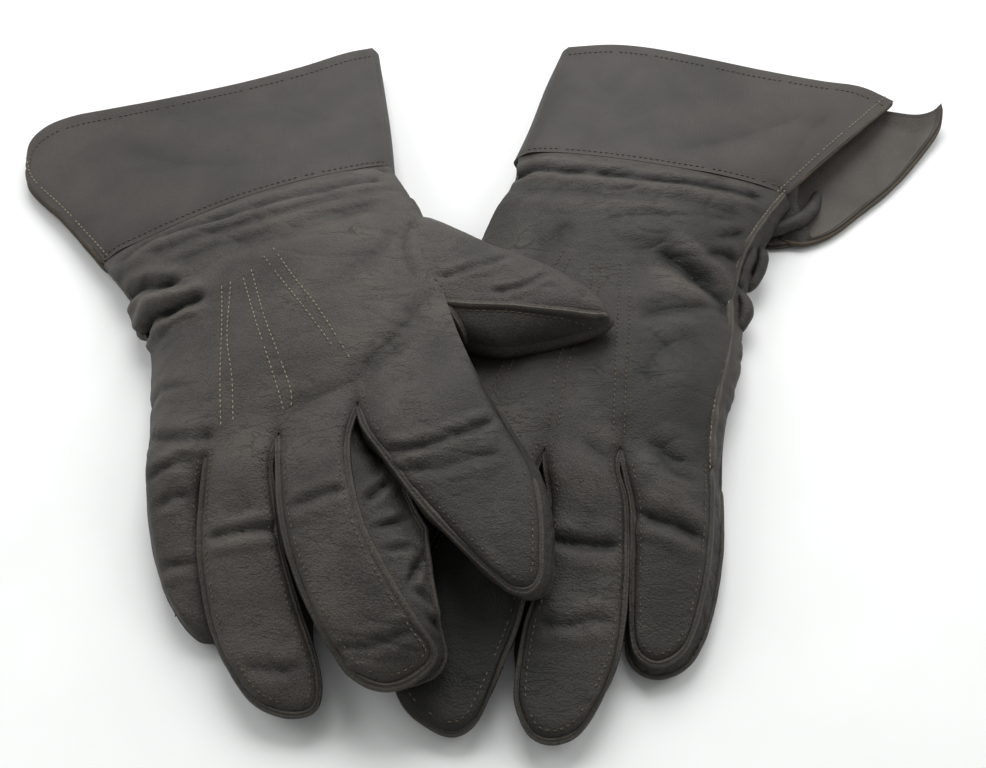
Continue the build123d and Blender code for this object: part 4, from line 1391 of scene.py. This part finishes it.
def cuff_back(glove, edges, reach):
    """The gauntlet's back panel, with its hem, its lap over the hand and its broad waves."""
    cuff = glove["cuff"]
    back = facing(patch(*edges), (0, 0, 1))
    _, _, from_near, from_far = edge_distances(back)
    hem = HEM_RISE * smooth_step(1 - from_far / HEM) - SEAM_SINK * bell((from_far - HEM - 1.0) / 1.3)
    lap = -SEAM_SINK * bell((from_near - 2.6) / 1.3)
    waves = 1.3 * field(back, 46.0, 2.2) + 0.35 * field(back, 17.0, 5.0)
    drawn = fold_heights(back, cuff["folds"])[0]
    back = raised(back, drawn + waves * edge_fade(back, 14.0) + hem + lap)
    # The mark paints shade in the hem's and lap's grooves and in the folds, light on the hem's rise, and
    # the gauntlet's spots of painted light and shade
    light_and_wear = hem + lap + fold_heights(back, cuff["folds"])[0]
    mark = toned(light_and_wear) + shading(back, cuff["shades"])
    shape = Shape()
    shape.sheet(back, FACED, mark, raw_edge=0.12)
    make_piece(shape, glove["side"], "gauntlet_back", "cuff_leather", "gauntlet", reach)
    return back


def cuff_palm(side, edges, fold_edges, way, reach):
    """The gauntlet's palm panel, and the fold that joins it to the back on the thumb's side."""
    palm = facing(patch(*edges), (0, 0, -1))
    height = 0.4 * field(palm, 30.0, 8.0) * edge_fade(palm, 10.0)
    palm = kept_above(raised(palm, height), CUFF_GAP)
    shape = Shape()
    shape.sheet(palm, LOW_PANEL, raw_edge=0.35)
    shape.sheet(facing(wall(*fold_edges, 9, 3.0, -way), (-way, 0.3, 0)), LEATHER)
    make_piece(shape, side, "gauntlet_palm", "cuff_leather", "gauntlet", reach)
    return palm


def cuff_facings(side, back, palm, reach):
    """The inner layer of both panels: the hem's end of the back's, and all of the palm's."""
    band, low_band = back[-24:], palm[1:-1, 2:-2]
    under_back = (band - grid_normals(band) * (FACED + 0.15))[:-1, 2:-2]
    over_palm = low_band - grid_normals(low_band) * (LOW_PANEL + 0.15)
    shape = Shape()
    shape.sheet(facing(under_back, (0, 0, -1)), FACING)
    shape.sheet(facing(over_palm, (0, 0, 1)), FACING)
    make_piece(shape, side, "gauntlet_facings", "facing", "gauntlet", reach)


def cuff_vent(glove, top, low, way, reach):
    """The open side of the gauntlet: its two bound edges, and the strip and the roll at its foot."""
    side = glove["side"]
    binding = Shape()
    binding.sweep(low, CORD, 0.8 * way, range(1, 6))
    binding.sweep(top + (0, 0, -0.9), CORD, 0.8 * way, CORD_RAW)
    make_piece(binding, side, "vent_binding", "binding", "gauntlet", reach)
    foot = round(len(top) * 0.15)
    gusset = facing(wall(top[:foot], low[:foot], 11, 4.0, -way), (way, -1, 0))
    shape = Shape()
    shape.sheet(raised(gusset, 0.9 * field(gusset, 6.0, 3.0)), LEATHER)
    for size, points in glove["cuff"]["rolls"]:
        shape.sweep(spline(points, 24), TUCK, 0.0, size=size, taper=16.0)
    make_piece(shape, side, "vent_gusset", "gusset_leather", "gauntlet", reach)


def cuff_stitches(side, back, edges, way, reach):
    """Stitch rows on the gauntlet's back: along its hem and its near seam, and along its vent."""
    surface, flat = surface_of([back]), patch(*edges)
    hem_row = round((1 - 5.0 / travelled(edges[1])[-1]) * (len(flat) - 1))
    sewing, vent_sewing = Shape(), Shape()
    for line, gaps in ((laid_on(surface, flat[hem_row]), 0.6), (flat[2], 0.62)):
        sewing.stitches(evenly(line, 200), surface, pitch=2.1, long=1.3, gaps=gaps)
    vent_line = flat[:, -4 if way > 0 else 3]
    vent_sewing.stitches(evenly(vent_line, 150), surface, pitch=2.1, long=1.4, gaps=0.5)
    make_trim(sewing, side, "gauntlet_back", "_stitches", "gauntlet", reach, "seam_thread")
    make_trim(vent_sewing, side, "gauntlet_back", "_vent_stitches", "gauntlet", reach, "thread")


def cuff_parts(glove, wrist_low):
    """The gauntlet; way is 1 where its vent is on the right of the layout and -1 on the left."""
    side = glove["side"]
    way = 1 if glove["cuff"]["vent_side"] == "right" else -1
    vent, fold = (1, 0) if way > 0 else (0, 1)
    top, low = cuff_edges(glove, wrist_low)
    reach = bend_reach(spline(glove["wrist"], 40), spline(glove["cuff"]["far"], 40).mean(axis=0), 20.0)
    back = cuff_back(glove, top, reach)
    palm = cuff_palm(side, low, (top[fold], low[fold]), way, reach)
    cuff_facings(side, back, palm, reach)
    cuff_vent(glove, top[vent], low[vent], way, reach)
    cuff_stitches(side, back, top, way, reach)


# ---- One whole glove ----
def height_and_mark(glove, grid, is_hand):
    """Relief of one back, and its mark of painted light, shade and wear; a finger's leather is darker
    beside its seams.
    """
    left, right, near, far = edge_distances(grid)
    height = relief(grid, glove["folds"])
    if is_hand:
        height = height * smooth_step(near / 5.0)
    # Painted shade in the relief's creases and light on its ridges, and the glove's spots of painted light
    # and shade
    mark = toned(height) + shading(grid, glove["shades"])
    if not is_hand:
        mark -= 0.4 * bell(np.minimum.reduce([left, right, far]) / 2.2)
    return height, mark


def worn_backs(glove):
    """The finished backs as (grid, normals, marks) sheets, the hand's first, and their surface."""
    hand, fingers, spans = back_grids(glove)
    # The backs swell off their seams: most over the hand and the knuckles, less along the fingers
    lifts = [1.25 * smooth_step(edge_distances(hand)[2] / 10.0) - 0.1]
    lifts += [0.4 + 0.75 * smooth_step(1 - edge_distances(finger)[2] / 25.0) for finger in fingers]
    hand_normals, finger_normals = joined_normals(hand, fingers, spans)
    moved, marks = [], []
    for grid, square, lift in zip([hand, *fingers], [hand_normals, *finger_normals], lifts):
        height, mark = height_and_mark(glove, grid, grid is hand)
        up = square * (1 if square[..., 2].mean() > 0 else -1)
        moved.append(grid + up * height[..., None] + (0, 0, 1) * lift[..., None])
        marks.append(mark)
    for finger, (start, end) in zip(moved[1:], spans):
        finger[0] = moved[0][-1, start:end]
    hand_normals, finger_normals = joined_normals(moved[0], moved[1:], spans)
    sheets = [flip_up(*sheet) for sheet in zip(moved, [hand_normals, *finger_normals], marks)]
    return sheets, surface_of(moved)


def flip_up(grid, normals, mark):
    """A sheet with its marks, turned so that its outer face looks up."""
    if normals[..., 2].mean() < 0:
        return grid[:, ::-1], -normals[:, ::-1], mark[:, ::-1]
    return grid, normals, mark


def build_glove(glove):
    """One whole glove."""
    sheets, surface = worn_backs(glove)
    low_roots = [finger_parts(glove, piece, sheet, surface)
                 for piece, sheet in zip(glove["stalls"], sheets[1:])]
    wrist_low = hand_parts(glove, sheets[0], surface, low_roots)
    quirk_pieces(glove)
    wrist_band(glove)
    thumb_parts(glove)
    cuff_parts(glove, wrist_low)


# ---- Stage ----
def make_floor():
    """A pale floor under the gloves."""
    mesh = bpy.data.meshes.new("floor")
    corners = [(x * FLOOR_HALF, y * FLOOR_HALF, 0) for x, y in ((-1, -1), (1, -1), (1, 1), (-1, 1))]
    mesh.from_pydata(corners, [], [(0, 1, 2, 3)])
    mesh.materials.append(floor_material())
    floor = bpy.data.objects.new("floor", mesh)
    bpy.context.scene.collection.objects.link(floor)


def make_light(name, place, aim, size, power):
    """A large soft lamp at a place, pointed at another."""
    lamp = bpy.data.lights.new(name, "AREA")
    lamp.size = size
    lamp.energy = power
    holder = bpy.data.objects.new(name, lamp)
    holder.location = place
    holder.rotation_euler = (Vector(aim) - Vector(place)).to_track_quat("-Z", "Y").to_euler()
    bpy.context.scene.collection.objects.link(holder)


def make_camera():
    """The view from in front and above, at the photograph's angle."""
    elevation = math.radians(VIEW_ELEVATION)
    target = Vector(in_frame((0.0, 0.0, 0.0)))
    data = bpy.data.cameras.new("camera")
    data.sensor_width = 36.0
    data.lens = VIEW_LENS
    camera = bpy.data.objects.new("camera", data)
    back = Vector((0.0, -math.cos(elevation), math.sin(elevation)))
    camera.location = target + back * VIEW_DISTANCE * MM
    camera.rotation_euler = (-back).to_track_quat("-Z", "Y").to_euler()
    data.clip_start = 0.01
    bpy.context.scene.collection.objects.link(camera)
    bpy.context.scene.camera = camera


def make_studio():
    """Plain soft light from above and behind, and a white surround."""
    make_floor()
    for lamp in LAMPS:
        make_light(*lamp)
    world = bpy.data.worlds.new("studio")
    world.use_nodes = True
    background = world.node_tree.nodes["Background"]
    background.inputs["Color"].default_value = (0.97, 1.0, 0.98, 1)
    background.inputs["Strength"].default_value = 0.31
    bpy.context.scene.world = world
    bpy.context.scene.view_settings.view_transform = "Standard"


def main():
    make_camera()
    make_studio()
    for glove in (LEFT, RIGHT):
        build_glove(glove)


main()
